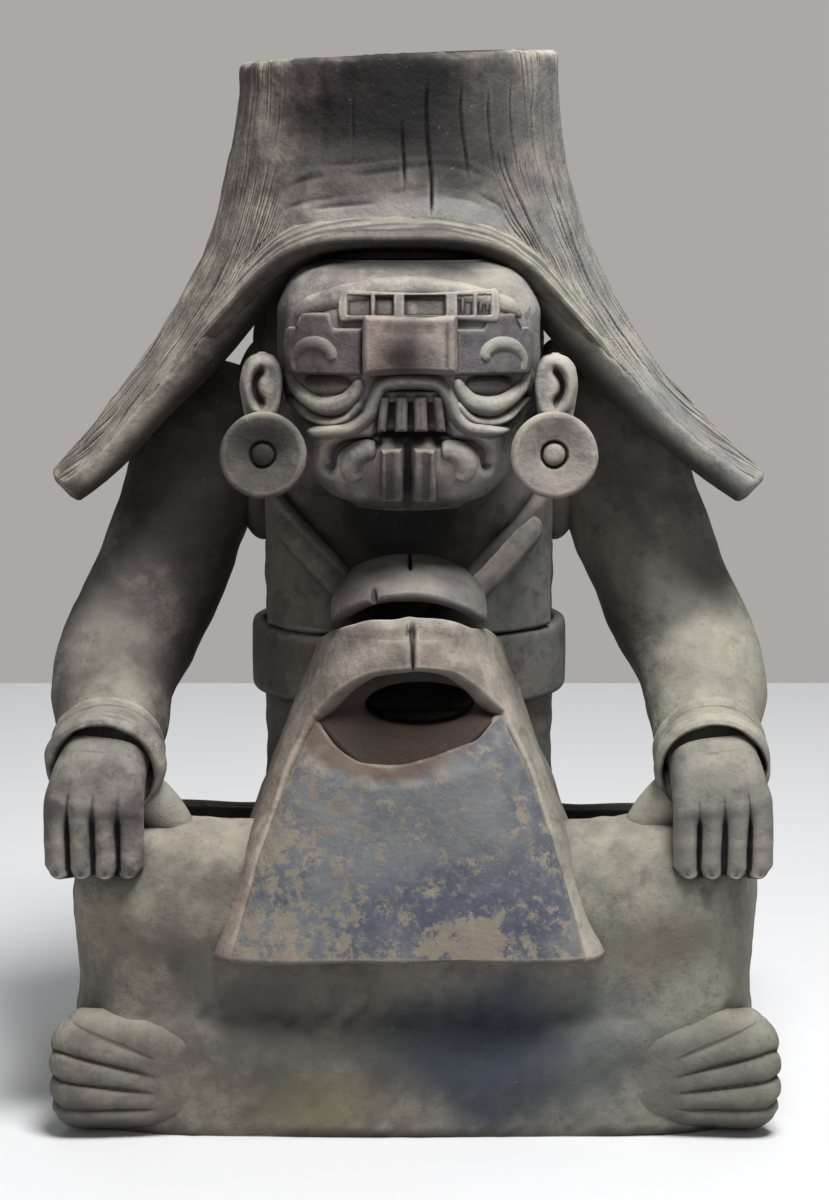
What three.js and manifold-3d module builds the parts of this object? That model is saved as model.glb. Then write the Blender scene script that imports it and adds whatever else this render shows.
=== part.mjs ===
// An effigy urn of fired clay: a figure sits cross-legged in front of a tall cylindrical vessel.
// It wears a mask, ear spools, a sleeved tunic, cuffs, a hooded apron and a flaring straw-like headdress.
// The potter rolled and modelled each piece and luted it to the next, so each piece is a solid of its own.
// Millimetres. +Z is up and the figure faces -Y. The origin is the vessel's axis at the standing face.
// Left and right are the viewer's, looking at the front.
import * as THREE from "three";
import { mergeVertices } from "three/addons/utils/BufferGeometryUtils.js";
import Module from "manifold-3d";

const wasm = await Module();
wasm.setup();

// Clay
const WALL = 12; // a rolled slab
const THIN_WALL = 8; // the slabs of the apron
const LUTE = 0.3; // the joint left between two pieces
const FLATNESS = 0.04; // facets this flat are merged
const ROUND = 36; // facets around a large turned piece
const SMALL_ROUND = 24;
const FAR = 400; // beyond the whole urn, for cutting boxes

// Seat: a ring of wall modelled as crossed legs, with a floor slab inside
const SEAT_HALF_WIDTH = 163;
const SEAT_OFFSET = 3; // the seat sits this much to the right of the vessel's axis
const SEAT_FRONT = 122;
const SEAT_BACK = 98;
const SEAT_POWER = 6; // squareness of the plan
const LAP_HEIGHT = 144;
const BACK_WALL_HEIGHT = 116;
const BACK_WALL_JOINT = 70; // where the legs end and the low back wall begins
const FLOOR_THICKNESS = 12;
const SEAT_STATIONS = 40;

// Vessel
const VESSEL_R = 70;
const VESSEL_WALL = 10;
const SHOULDER_HEIGHT = 262; // where the arms leave the body
const NECK_BASE = 384; // where the vessel starts to narrow, inside the headdress
const NECK_HEIGHT = 424; // where it is narrow
const RIM_ROUND = 3;

// Headdress: a bell of straw-like clay, open in front over the face and at the back
const CROWN_R = 76;
const CROWN_HEIGHT = 495;
const BELL_WALL = 14;
const BRIM_R = 173;
const BRIM_HEIGHT = 297;
const BELL_POWER = 2.2;
const ARCH_HEIGHT = 410; // the front edge above the forehead
const ARCH_POWER = 3.7;
const WING_ANGLE = 68; // where the front edge reaches the brim, in degrees from the front
const BRIM_SWEEP = 108;
const CROWN_SWEEP = 133;
const RIM_TILT = 3; // the right end of the rim stands this much higher
const LEAN = 5; // the crown leans this much to the left
const LEAN_RISE = 45; // and has its full lean this far above the brim
const MOUTH_DROP = 7; // the vessel's mouth stands this much below the crown's edge
const HEM_WIDTH = 18;
const HEM_RELIEF = 3;
const SLIT_WIDTH = 1.6;
const SLIT_DEPTH = 5;
const SLIT_ANGLES = [-14, -1, 8, 18, 28.5, 38, 48];
const SLIT_LENGTHS = [16, 24, 50, 38, 26, 28, 26];

// Tunic and sash
const TUNIC_THICKNESS = 6.5;
const TUNIC_ANGLE = 64;
const TUNIC_HEIGHT = 66.3; // above the sash
const NECKLINE_DEPTH = 61;
const NECKLINE_HALF_WIDTH = 66;
const COLLAR_WIDTH = 11;
const COLLAR_RELIEF = 3.5;
const SASH_TOP = 225.7;
const SASH_HEIGHT = 34;
const SASH_THICKNESS = 6.5;
const TUNIC_TOP = SASH_TOP + TUNIC_HEIGHT;

// Hooded apron
const HEM_HEIGHT = 86; // the apron's lower edge
const HOOD_SHOULDER = 232; // where the straight sides end and the dome begins
const HOOD_TOP = HOOD_SHOULDER + 32;
const HOOD_HEM_HALF_WIDTH = 94;
const HOOD_TOP_HALF_WIDTH = 40;
const HOOD_HEM_REACH = SEAT_FRONT + 13;
const HOOD_TOP_REACH = SEAT_FRONT - 6;
const HOOD_BACK = 40;
const CAP_OVERLAP = 3.4; // the cap stands this much outside the arch
const CLEFT_X = 2; // the notch in the lip and the cap

// Arms
const ELBOW_X = 138;
const ELBOW_HEIGHT = 213;
const WRIST_X = 140;
const WRIST_HEIGHT = LAP_HEIGHT + 28;
const WRIST_REACH = SEAT_FRONT - 28;
const WRIST_SLOPE = Math.PI / 10;
const UPPER_ARM_R = 32;
const WRIST_R = 19;
const CUFF_R = 27;
const CUFF_LENGTH = 26;
const CUFF_WALL = 4;
const HAND_X = 144;
const HAND_HALF_WIDTH = 23;
const HAND_REACH = SEAT_FRONT - 9; // the fingers lie on the front of the leg
const FINGERTIP_HEIGHT = LAP_HEIGHT - 23;
const FINGERS = 4;
const FINGER_GROOVE = 3.2;
const ARM_STATIONS = 12;
const HAND_STATIONS = 10;

// Feet
const FOOT_OVERHANG = 6; // the toes stand this much outside the seat
const FOOT_LENGTH = 81;
const FOOT_HEIGHT = 60;
const TOES = 4;
const TOE_GROOVE = 3;

// Head
const HEAD_CLEARANCE = 8; // between the forehead and the headdress's front edge
const CHIN_HEIGHT = 289;
const HEAD_HALF_WIDTH = 61;
const HEAD_DEPTH = 54; // from the head's middle to the front of the face
const HEAD_REACH = 58; // from the vessel's axis to the head's middle
const HEAD_POWER = 2.7;
const EAR_FRONT = HEAD_REACH + 38;
const SPOOL_R = 20;
const SPOOL_HOLE_R = 7;
const SPOOL_THICKNESS = 9;
const BOSS_R = 4.8;

// Mask
const EYE_LINE = CHIN_HEIGHT + 62;
const MOUTH_LINE = CHIN_HEIGHT + 34;
const EYE_X = 36.5;
const SNOUT_WIDTH = 41;
const SNOUT_HEIGHT = 27;
const SNOUT_DEPTH = 13;
const PLATE_THICKNESS = 2.8; // the plates over the eyes
const TOOTH_LENGTH = 17;
const TONGUE_WIDTH = 10.5;
const TONGUE_LENGTH = 27;
const CORNER = 1.6; // the rounding of the teeth and the tongue

const SEAT_MIDDLE = (SEAT_BACK - SEAT_FRONT) / 2;
const SEAT_HALF_DEPTH = (SEAT_BACK + SEAT_FRONT) / 2;
const FOOT_TIP = SEAT_HALF_WIDTH + FOOT_OVERHANG;
const FOOT_REACH = SEAT_FRONT + FOOT_OVERHANG;
const VESSEL_BASE = FLOOR_THICKNESS + LUTE;
const NECK_R = CROWN_R - BELL_WALL - 2 * LUTE;
const MOUTH_HEIGHT = CROWN_HEIGHT - MOUTH_DROP;
const HEAD_TOP = ARCH_HEIGHT - HEAD_CLEARANCE;
const EAR_X = HEAD_HALF_WIDTH + 7;
const EAR_TOP = EYE_LINE + 12;
const SPOOL_X = EAR_X - 2;
const SPOOL_HEIGHT = CHIN_HEIGHT + 26;

function clay(color, roughness = 0.82) {
  return new THREE.MeshStandardMaterial({ color, roughness, metalness: 0 });
}
const BUFF = clay(0x9c958a);
const GREY = clay(0x6f6d6a);
const SOOTY = clay(0x4d4844);
const SLATE = clay(0x747780, 0.7);
const PALE = clay(0xa39d90);

const radians = THREE.MathUtils.degToRad;
const mix = THREE.MathUtils.lerp;
const vector = (x, y, z) => new THREE.Vector3(x, y, z);
const ease = (value, low, high) => THREE.MathUtils.smoothstep(value, low, high);

// A smooth curve through [position, value] knots that never swings past them.
function graded(knots) {
  const slopes = knots.map((_, i) => {
    if (i === 0 || i === knots.length - 1) return 0;
    const before = (knots[i][1] - knots[i - 1][1]) / (knots[i][0] - knots[i - 1][0]);
    const after = (knots[i + 1][1] - knots[i][1]) / (knots[i + 1][0] - knots[i][0]);
    return before * after <= 0 ? 0 : (2 * before * after) / (before + after);
  });
  return (at) => {
    if (at <= knots[0][0]) return knots[0][1];
    const next = knots.findIndex((knot) => knot[0] >= at);
    if (next < 0) return knots[knots.length - 1][1];
    const [from, to] = [knots[next - 1], knots[next]];
    const span = to[0] - from[0];
    const t = (at - from[0]) / span;
    const rise = (2 * t ** 3 - 3 * t ** 2 + 1) * from[1] + (3 * t ** 2 - 2 * t ** 3) * to[1];
    return rise + span * ((t ** 3 - 2 * t ** 2 + t) * slopes[next - 1] + (t ** 3 - t ** 2) * slopes[next]);
  };
}

// Closed bodies
function body(points, faces) {
  let volume = 0;
  const [a, b, c] = [vector(), vector(), vector()];
  for (const [i, j, k] of faces) {
    volume += a.copy(points[i]).dot(b.copy(points[j]).cross(c.copy(points[k])));
  }
  const geometry = new THREE.BufferGeometry().setFromPoints(points);
  geometry.setIndex((volume < 0 ? faces.map(([i, j, k]) => [i, k, j]) : faces).flat());
  return geometry;
}

// A body whose skin joins one ring of points to the next. An open run is closed by a fan at each end.
function loft(rings, { loop = false } = {}) {
  const around = rings[0].length;
  const points = rings.flat();
  const faces = [];
  const last = loop ? rings.length : rings.length - 1;
  for (let i = 0; i < last; i++) {
    const next = (i + 1) % rings.length;
    for (let j = 0; j < around; j++) {
      const [p, q] = [i * around + j, i * around + ((j + 1) % around)];
      const [r, s] = [next * around + j, next * around + ((j + 1) % around)];
      faces.push([p, q, s], [p, s, r]);
    }
  }
  if (loop) return body(points, faces);
  for (const [ring, turned] of [[0, true], [rings.length - 1, false]]) {
    const centre = rings[ring].reduce((sum, p) => sum.add(p), vector(0, 0, 0)).divideScalar(around);
    const hub = points.push(centre) - 1;
    for (let j = 0; j < around; j++) {
      const [p, q] = [ring * around + j, ring * around + ((j + 1) % around)];
      faces.push(turned ? [hub, q, p] : [hub, p, q]);
    }
  }
  return body(points, faces);
}

// A slab of clay bent to a surface: point(u, v) gives the surface for u and v from 0 to 1, and the slab
// reaches from outer in front of it to inner behind it.
function slab(point, across, along, outer, inner) {
  const step = 1e-3;
  const [front, back] = [[], []];
  for (let i = 0; i <= across; i++) {
    front.push([]);
    back.push([]);
    for (let j = 0; j <= along; j++) {
      const [u, v] = [i / across, j / along];
      const alongU = point(Math.min(u + step, 1), v).sub(point(Math.max(u - step, 0), v));
      const alongV = point(u, Math.min(v + step, 1)).sub(point(u, Math.max(v - step, 0)));
      const normal = alongU.cross(alongV).normalize();
      front[i].push(point(u, v).addScaledVector(normal, outer));
      back[i].push(point(u, v).addScaledVector(normal, -inner));
    }
  }
  const row = 2 * (along + 1);
  const points = front.flatMap((line, i) => [...line, ...back[i].reverse()]);
  const faces = [];
  for (let i = 0; i < across; i++) {
    for (let j = 0; j < row; j++) {
      const [p, q] = [i * row + j, i * row + ((j + 1) % row)];
      faces.push([p, q, q + row], [p, q + row, p + row]);
    }
  }
  for (const [start, turned] of [[0, true], [across * row, false]]) {
    for (let j = 0; j < along; j++) {
      const [p, q, r, s] = [start + j, start + j + 1, start + row - 2 - j, start + row - 1 - j];
      faces.push(...(turned ? [[p, r, q], [p, s, r]] : [[p, q, r], [p, r, s]]));
    }
  }
  return body(points, faces);
}

// Cutting
function solid(geometry) {
  const bare = geometry.clone();
  bare.deleteAttribute("normal");
  bare.deleteAttribute("uv");
  const merged = mergeVertices(bare, 1e-4);
  const triVerts = Uint32Array.from(merged.index.array);
  const vertProperties = Float32Array.from(merged.attributes.position.array);
  return new wasm.Manifold(new wasm.Mesh({ numProp: 3, vertProperties, triVerts }));
}

function geometryOf(manifold) {
  const { vertProperties, triVerts } = manifold.getMesh();
  const geometry = new THREE.BufferGeometry();
  geometry.setAttribute("position", new THREE.BufferAttribute(vertProperties, 3));
  geometry.setIndex(Array.from(triVerts));
  return geometry;
}

function joined(parts) {
  return parts.reduce((sum, part) => sum.add(part));
}

// The largest part of a piece once its neighbours are cut from it: a potter would wipe the scraps away.
function cut(piece, ...cutters) {
  const rest = cutters.reduce((left, cutter) => left.subtract(cutter), piece);
  return largest(largest(rest).asOriginal().simplify(FLATNESS));
}

function largest(piece) {
  return piece.decompose().sort((a, b) => b.volume() - a.volume())[0];
}

// The same solid with its skin moved out along its normals, to cut a neighbour clear of it.
function grown(manifold, by = LUTE + 0.1) {
  const geometry = geometryOf(manifold);
  geometry.computeVertexNormals();
  const { position, normal } = geometry.attributes;
  for (let i = 0; i < position.count; i++) {
    position.setXYZ(
      i,
      position.getX(i) + by * normal.getX(i),
      position.getY(i) + by * normal.getY(i),
      position.getZ(i) + by * normal.getZ(i),
    );
  }
  return solid(geometry);
}

function mirrored(piece) {
  const geometry = geometryOf(piece).scale(-1, 1, 1);
  const index = Array.from(geometry.index.array);
  for (let i = 0; i < index.length; i += 3) [index[i], index[i + 1]] = [index[i + 1], index[i]];
  return solid(geometry.setIndex(index));
}

// A piece drawn for the right side, and its twin.
// Cutters that lean with the crown cut each side in its own way.
function pairOf(piece, ...leaning) {
  return { right: cut(piece, ...leaning), left: cut(mirrored(piece), ...leaning) };
}

const bothOf = (pair) => [grown(pair.right), grown(pair.left)];

function box(width, depth, height, x, y, z) {
  return solid(new THREE.BoxGeometry(width, depth, height).translate(x, y, z));
}

// A body turned about the vertical axis from [radius, height] points.
function turned(profile, segments, shift = () => 0) {
  const outline = profile.map(([r, z]) => new THREE.Vector2(r, z));
  const geometry = new THREE.LatheGeometry(outline, segments).rotateX(Math.PI / 2);
  const { position } = geometry.attributes;
  for (let i = 0; i < position.count; i++) position.setX(i, position.getX(i) + shift(position.getZ(i)));
  return geometry;
}

function closedTurned(profile, segments, shift) {
  return solid(turned([...profile, profile[0]], segments, shift));
}

// Seat
// Share of the lap's height, then the inset at the front and at the sides.
const LEG_PROFILE = [
  [0, 2, 4],
  [0.05, 0, 2],
  [0.19, 0, 1],
  [0.33, 4, 2],
  [0.42, 8, 3],
  [0.7, 5, 0],
  [0.84, 9, 3],
  [0.94, 19, 11],
  [1, 38, 28],
  [0.985, 45, 35],
];

function seatPoint(angle, inset, height) {
  const halfWidth = SEAT_HALF_WIDTH - inset;
  const halfDepth = SEAT_HALF_DEPTH - inset;
  const [s, c] = [Math.sin(angle), Math.cos(angle)];
  const across = (Math.abs(s) / halfWidth) ** SEAT_POWER;
  const deep = (Math.abs(c) / halfDepth) ** SEAT_POWER;
  const reach = (across + deep) ** (-1 / SEAT_POWER);
  return vector(SEAT_OFFSET + reach * s, SEAT_MIDDLE - reach * c, height);
}

// The leg wall's outer line at an angle, as [inset, height] pairs, moved out by the clearance.
function legLine(angle, clearance = 0) {
  const side = Math.abs(angle) < Math.PI / 2 ? Math.sin(angle) ** 2 : 1;
  const behind = ease(Math.abs(angle), radians(75), radians(130));
  const drop = mix(1, BACK_WALL_HEIGHT / LAP_HEIGHT, behind);
  return LEG_PROFILE.map(([share, front, flank], i) => [
    mix(front, flank, side) * mix(1, 0.35, behind) - clearance,
    share * LAP_HEIGHT * drop + (i > 7 ? clearance : 0),
  ]);
}

// The line a wall's thickness inside another one.
function insideLine(line, thickness) {
  return line.map((_, i) => {
    const [before, after] = [line[Math.max(i - 1, 0)], line[Math.min(i + 1, line.length - 1)]];
    const [run, rise] = [after[0] - before[0], after[1] - before[1]];
    const length = Math.hypot(run, rise);
    const height = line[i][1] - (thickness * run) / length;
    return [line[i][0] + (thickness * rise) / length, i === 0 ? 0 : Math.max(height, 1)];
  });
}

const seatAngles = Array.from(
  { length: SEAT_STATIONS },
  (_, i) => ((i + 0.5) / SEAT_STATIONS - 0.5) * 2 * Math.PI,
);

function seatCore(clearance) {
  const lines = seatAngles.map((angle) => legLine(angle, clearance));
  const rings = LEG_PROFILE.map((_, i) => seatAngles.map((angle, j) => seatPoint(angle, ...lines[j][i])));
  rings[0].forEach((p) => p.setZ(-clearance));
  return solid(loft(rings));
}

function seatRing() {
  const rings = seatAngles.map((angle) => {
    const outer = legLine(angle);
    const inner = insideLine(outer, WALL).reverse();
    return [...outer, ...inner].map(([inset, height]) => seatPoint(angle, inset, height));
  });
  return solid(loft(rings, { loop: true }));
}

const legWall = cut(seatRing(), box(FAR, FAR, FAR, 0, BACK_WALL_JOINT + FAR / 2, FAR / 2 - 1));

// The low wall behind: its top is the potter's uneven finger line.
function backWall() {
  const rings = seatAngles.map((angle) => {
    const top = BACK_WALL_HEIGHT - 3 + 1.5 * Math.sin(5 * angle);
    const [outside, inside] = [3, 3 + WALL];
    return [
      seatPoint(angle, outside, 0),
      seatPoint(angle, outside, top - WALL / 4),
      seatPoint(angle, outside + WALL / 4, top),
      seatPoint(angle, inside - WALL / 4, top),
      seatPoint(angle, inside, top - WALL / 4),
      seatPoint(angle, inside, 0),
    ];
  });
  const front = BACK_WALL_JOINT + LUTE;
  return cut(solid(loft(rings, { loop: true })), box(FAR, FAR, FAR, 0, front - FAR / 2, FAR / 2 - 1));
}

const seatBackWall = backWall();

function floorSlab() {
  const outline = new THREE.Shape(
    seatAngles.map((angle) => {
      const p = seatPoint(angle, WALL, 0);
      return new THREE.Vector2(p.x, p.y);
    }),
  );
  const plate = solid(new THREE.ExtrudeGeometry(outline, { depth: FLOOR_THICKNESS, bevelEnabled: false }));
  return cut(plate, grown(legWall), grown(seatBackWall));
}

// Vessel
const leanAt = (z) => -LEAN * ease(z, BRIM_HEIGHT, BRIM_HEIGHT + LEAN_RISE);
const neckShare = graded([
  [NECK_BASE, 0],
  [(NECK_BASE + NECK_HEIGHT) / 2, 0.5],
  [NECK_HEIGHT, 1],
]);
const vesselRadius = (z) => mix(VESSEL_R, NECK_R, neckShare(z));
// The heights where the vessel's line bends: first it leans, then it narrows.
const BENDS = [
  ...[0, 0.33, 0.67, 1].map((t) => BRIM_HEIGHT + t * LEAN_RISE),
  ...[0, 0.3, 0.65, 1].map((t) => mix(NECK_BASE, NECK_HEIGHT, t)),
];
const vesselLine = (inset) => BENDS.map((z) => [vesselRadius(z) - inset, z]);

const vesselTube = closedTurned(
  [
    [VESSEL_R, VESSEL_BASE],
    ...vesselLine(0),
    [NECK_R, MOUTH_HEIGHT - RIM_ROUND],
    [NECK_R - RIM_ROUND, MOUTH_HEIGHT],
    [NECK_R - VESSEL_WALL + RIM_ROUND, MOUTH_HEIGHT],
    [NECK_R - VESSEL_WALL, MOUTH_HEIGHT - RIM_ROUND],
    ...vesselLine(VESSEL_WALL).reverse(),
    [VESSEL_R - VESSEL_WALL, VESSEL_BASE],
  ],
  ROUND,
  leanAt,
);

// Everything inside the vessel's outer skin, to cut its neighbours clear.
const vesselCore = closedTurned(
  [
    [0, VESSEL_BASE],
    [VESSEL_R + LUTE, VESSEL_BASE],
    ...vesselLine(-LUTE),
    [NECK_R + LUTE, MOUTH_HEIGHT + FAR],
    [0, MOUTH_HEIGHT + FAR],
  ],
  ROUND,
  (z) => leanAt(Math.min(z, MOUTH_HEIGHT)),
);

const vesselFloor = closedTurned(
  [
    [0, VESSEL_BASE],
    [VESSEL_R - VESSEL_WALL - LUTE, VESSEL_BASE],
    [VESSEL_R - VESSEL_WALL - LUTE, VESSEL_BASE + VESSEL_WALL],
    [0, VESSEL_BASE + VESSEL_WALL],
  ],
  ROUND,
);

// Tunic: a curved front slab with a V neckline edged by two collar bands
const tunicOnBody = (u, v) => {
  const angle = radians(mix(-TUNIC_ANGLE, TUNIC_ANGLE, u));
  const z = mix(SASH_TOP + LUTE, TUNIC_TOP, v);
  const r = vesselRadius(z) + LUTE;
  return vector(r * Math.sin(angle), -r * Math.cos(angle), z);
};

function necklineCutter() {
  const outline = new THREE.Shape([
    new THREE.Vector2(-NECKLINE_HALF_WIDTH, TUNIC_TOP + 1),
    new THREE.Vector2(0, TUNIC_TOP - NECKLINE_DEPTH),
    new THREE.Vector2(NECKLINE_HALF_WIDTH, TUNIC_TOP + 1),
  ]);
  const depth = VESSEL_R + 2 * TUNIC_THICKNESS;
  return solid(new THREE.ExtrudeGeometry(outline, { depth, bevelEnabled: false }).rotateX(Math.PI / 2));
}

const tunic = cut(solid(slab(tunicOnBody, 12, 4, TUNIC_THICKNESS, 0)), necklineCutter(), vesselCore);

// A strip of clay laid on a surface: the path holds [x, z] points, face(x, z) gives how far the surface
// reaches in front of the axis, and the strip is crowned to its height above that surface.
function strip(face, path, width, height, { stations = 12, taper = 1, sunk = 3 } = {}) {
  const line = new THREE.CatmullRomCurve3(path.map(([x, z]) => vector(x, -face(x, z), z)));
  const rings = [];
  for (let i = 0; i <= stations; i++) {
    const t = i / stations;
    const at = line.getPointAt(t);
    const along = line.getTangentAt(t);
    const slopeX = face(at.x + 1, at.z) - face(at.x - 1, at.z);
    const slopeZ = face(at.x, at.z + 1) - face(at.x, at.z - 1);
    const out = vector(-slopeX, -2, -slopeZ).normalize();
    const aside = along.clone().cross(out).normalize();
    const size = mix(taper, 1, Math.sin(Math.PI * Math.min(Math.max(t, 0.02), 0.98)) ** 0.6);
    const seated = vector(at.x, -face(at.x, at.z), at.z);
    const [side, top] = [0.35 * height * size, 0.88 * height * size];
    const section = [[-0.5, -sunk], [-0.5, side], [-0.26, top], [0.26, top], [0.5, side], [0.5, -sunk]];
    rings.push(
      section.map(([w, h]) =>
        seated.clone().addScaledVector(aside, w * width * size).addScaledVector(out, h),
      ),
    );
  }
  return solid(loft(rings));
}

const tunicFace = (x, z) => {
  const r = vesselRadius(z) + LUTE + TUNIC_THICKNESS;
  return Math.sqrt(Math.max(r * r - x * x, 1));
};
const necklineAt = (share) => [
  share * NECKLINE_HALF_WIDTH + COLLAR_WIDTH / 2 + 1,
  TUNIC_TOP - NECKLINE_DEPTH * (1 - share) - COLLAR_WIDTH / 2,
];
const sash = closedTurned(
  [
    [VESSEL_R + LUTE, SASH_TOP - SASH_HEIGHT],
    [VESSEL_R + SASH_THICKNESS - 1, SASH_TOP - SASH_HEIGHT],
    [VESSEL_R + SASH_THICKNESS, SASH_TOP - SASH_HEIGHT + 3],
    [VESSEL_R + SASH_THICKNESS, SASH_TOP - 3],
    [VESSEL_R + SASH_THICKNESS - 1.5, SASH_TOP],
    [VESSEL_R + LUTE, SASH_TOP],
  ],
  ROUND,
);

// Apron: a hood whose plan is square at the hem and round at the top
function hoodPoint(degrees, rise, out = 0) {
  const angle = radians(degrees);
  const lower = Math.min(rise, 0) + 1;
  const dome = (Math.max(rise, 0) * Math.PI) / 2;
  const halfWidth = mix(HOOD_HEM_HALF_WIDTH, HOOD_TOP_HALF_WIDTH, lower) * Math.cos(dome) ** 1.3 + out;
  const reach = (mix(HOOD_HEM_REACH, HOOD_TOP_REACH, lower) - HOOD_BACK) * Math.cos(dome) + out;
  const z = mix(HEM_HEIGHT, HOOD_SHOULDER, lower) + (HOOD_TOP - HOOD_SHOULDER + out) * Math.sin(dome);
  const power = mix(7, 2.4, ease(rise, -1, 0));
  const [s, c] = [Math.sin(angle), Math.max(Math.cos(angle), 0)];
  const round = (Math.abs(s) ** power + c ** power) ** (-1 / power);
  return vector(halfWidth * round * s, -HOOD_BACK - reach * round * c, z);
}

// The arch runs up one side of the apron, over the mouth and down the other side.
// Each half is given from the hem to the top: share of the way, angle, then rise.
const ARCH_OUTER = [
  [0, 90, -1.04],
  [0.3, 90, -0.6],
  [0.55, 90, -0.25],
  [0.7, 80, -0.08],
  [0.84, 46, 0.12],
  [1, 0, 0.27],
];
const ARCH_INNER = [
  [0, 42, -1.04],
  [0.3, 45, -0.63],
  [0.5, 48, -0.38],
  [0.62, 46, -0.29],
  [0.82, 24, -0.2],
  [1, 0, -0.18],
];
const archLine = (knots) => {
  const angle = graded(knots.map((knot) => [knot[0], knot[1]]));
  const rise = graded(knots.map((knot) => [knot[0], knot[2]]));
  return (u) => {
    const share = 1 - Math.abs(2 * u - 1);
    return [Math.sign(2 * u - 1) * angle(share), rise(share)];
  };
};
const [archOuter, archInner] = [archLine(ARCH_OUTER), archLine(ARCH_INNER)];
const archPoint = (u, v) => {
  const [from, to] = [archInner(u), archOuter(u)];
  return hoodPoint(mix(from[0], to[0], v), mix(from[1], to[1], v));
};
const panelPoint = (u, v) => hoodPoint(mix(-47, 47, u), mix(-1.04, -0.2, v));
const liningPoint = (u, v) => hoodPoint(mix(-50, 50, u), mix(-0.5, -0.04, v), -THIN_WALL - 2);
const capPoint = (u, v) => {
  const low = mix(0.37, 0, Math.abs(2 * u - 1) ** 1.7);
  const reach = mix(52, 88, v);
  return hoodPoint(mix(-reach, reach, u), mix(low, 0.86, v), CAP_OVERLAP);
};

// The mouth is a lens that narrows inwards: its upper lip is arched, its lower lip sags left of the middle.
const MOUTH_UPPER = [[-42, 0], [-30, 11], [-14, 19], [2, 21], [18, 19], [32, 11], [42, 0]];
const MOUTH_LOWER = [[30, -9], [18, -14.5], [6, -19], [-8, -21.5], [-20, -20], [-32, -13]];
function mouthCutter() {
  const middle = mix(HEM_HEIGHT, HOOD_SHOULDER, 0.76);
  const lens = [...MOUTH_UPPER, ...MOUTH_LOWER];
  const depths = [
    [HOOD_HEM_REACH + 5, 1.16],
    [HOOD_TOP_REACH + 2, 1],
    [HOOD_TOP_REACH - THIN_WALL - 8, 0.7],
  ];
  return solid(
    loft(depths.map(([reach, scale]) => lens.map(([x, z]) => vector(x * scale, -reach, middle + z * scale)))),
  );
}
const liningHole = solid(
  new THREE.CylinderGeometry(24, 24, 60, 16)
    .scale(1, 1, 0.42)
    .translate(4, -HOOD_TOP_REACH, mix(HEM_HEIGHT, HOOD_SHOULDER, 0.785)),
);

const chest = [vesselCore, grown(tunic), grown(sash)];
const seatClear = seatCore(LUTE);
const belowHem = box(FAR, FAR, HEM_HEIGHT, 0, 0, HEM_HEIGHT / 2);
const mouth = mouthCutter();
const lipCleft = box(SLIT_WIDTH, 7, 26, CLEFT_X, -HOOD_TOP_REACH, HOOD_SHOULDER);
const hoodArch = cut(
  solid(slab(archPoint, 24, 3, 0, THIN_WALL)),
  ...chest,
  seatClear,
  belowHem,
  mouth,
  lipCleft,
);
const archRoom = solid(slab((u, v) => archPoint(u, mix(-0.015, 1, v)), 24, 3, 1.5, THIN_WALL + 1.5));
const apronPanel = cut(
  solid(slab(panelPoint, 10, 6, 0, THIN_WALL + 1)),
  archRoom,
  seatClear,
  belowHem,
  mouth,
);
const hoodLining = cut(
  solid(slab(liningPoint, 10, 3, 0, THIN_WALL / 2)),
  liningHole,
  ...chest,
  seatClear,
  grown(hoodArch),
  grown(apronPanel),
);
const collars = pairOf(
  cut(
    strip(tunicFace, [0.34, 0.52, 0.7, 0.84].map(necklineAt), COLLAR_WIDTH, COLLAR_RELIEF, { stations: 6 }),
    grown(tunic),
    vesselCore,
    grown(hoodArch),
  ),
);

const knotCap = cut(
  solid(slab(capPoint, 12, 4, 0, THIN_WALL)),
  ...chest,
  ...bothOf(collars),
  grown(hoodArch),
  box(1.5 * SLIT_WIDTH, 20, 14, CLEFT_X, 24 - HOOD_TOP_REACH, HOOD_TOP),
);

// Headdress
function bellRadius(z) {
  const fall = Math.max((CROWN_HEIGHT - z) / (CROWN_HEIGHT - BRIM_HEIGHT), 0);
  return CROWN_R + (BRIM_R - CROWN_R) * fall ** BELL_POWER;
}

// The front edge is an arch that runs out level along the brim.
function edgeHeight(degrees) {
  const fall = (ARCH_HEIGHT - BRIM_HEIGHT) * (Math.abs(degrees) / WING_ANGLE) ** ARCH_POWER;
  const bend = 3;
  return BRIM_HEIGHT + bend * Math.log1p(Math.exp((ARCH_HEIGHT - fall - BRIM_HEIGHT) / bend));
}

function bellPoint(degrees, z) {
  const angle = radians(degrees);
  const r = bellRadius(z);
  return vector(r * Math.sin(angle) + leanAt(z), -r * Math.cos(angle), z);
}
const bellSheet = (u, v) => {
  const below = mix(-BRIM_SWEEP, BRIM_SWEEP, u);
  const angle = mix(below, mix(-CROWN_SWEEP, CROWN_SWEEP, u), v);
  const top = CROWN_HEIGHT + RIM_TILT * Math.sin(radians(angle));
  return bellPoint(angle, mix(edgeHeight(below), top, v));
};
const slits = SLIT_ANGLES.map((degrees, i) =>
  solid(
    new THREE.BoxGeometry(SLIT_WIDTH, 2 * SLIT_DEPTH, SLIT_LENGTHS[i])
      .translate(0, -bellRadius(CROWN_HEIGHT - 40) - 0.5, CROWN_HEIGHT - 19 - SLIT_LENGTHS[i] / 2)
      .rotateZ(radians(degrees))
      .translate(-LEAN, 0, 0),
  ),
);
const headdress = cut(solid(slab(bellSheet, 32, 8, 0, BELL_WALL)), vesselCore, ...slits);

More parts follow.
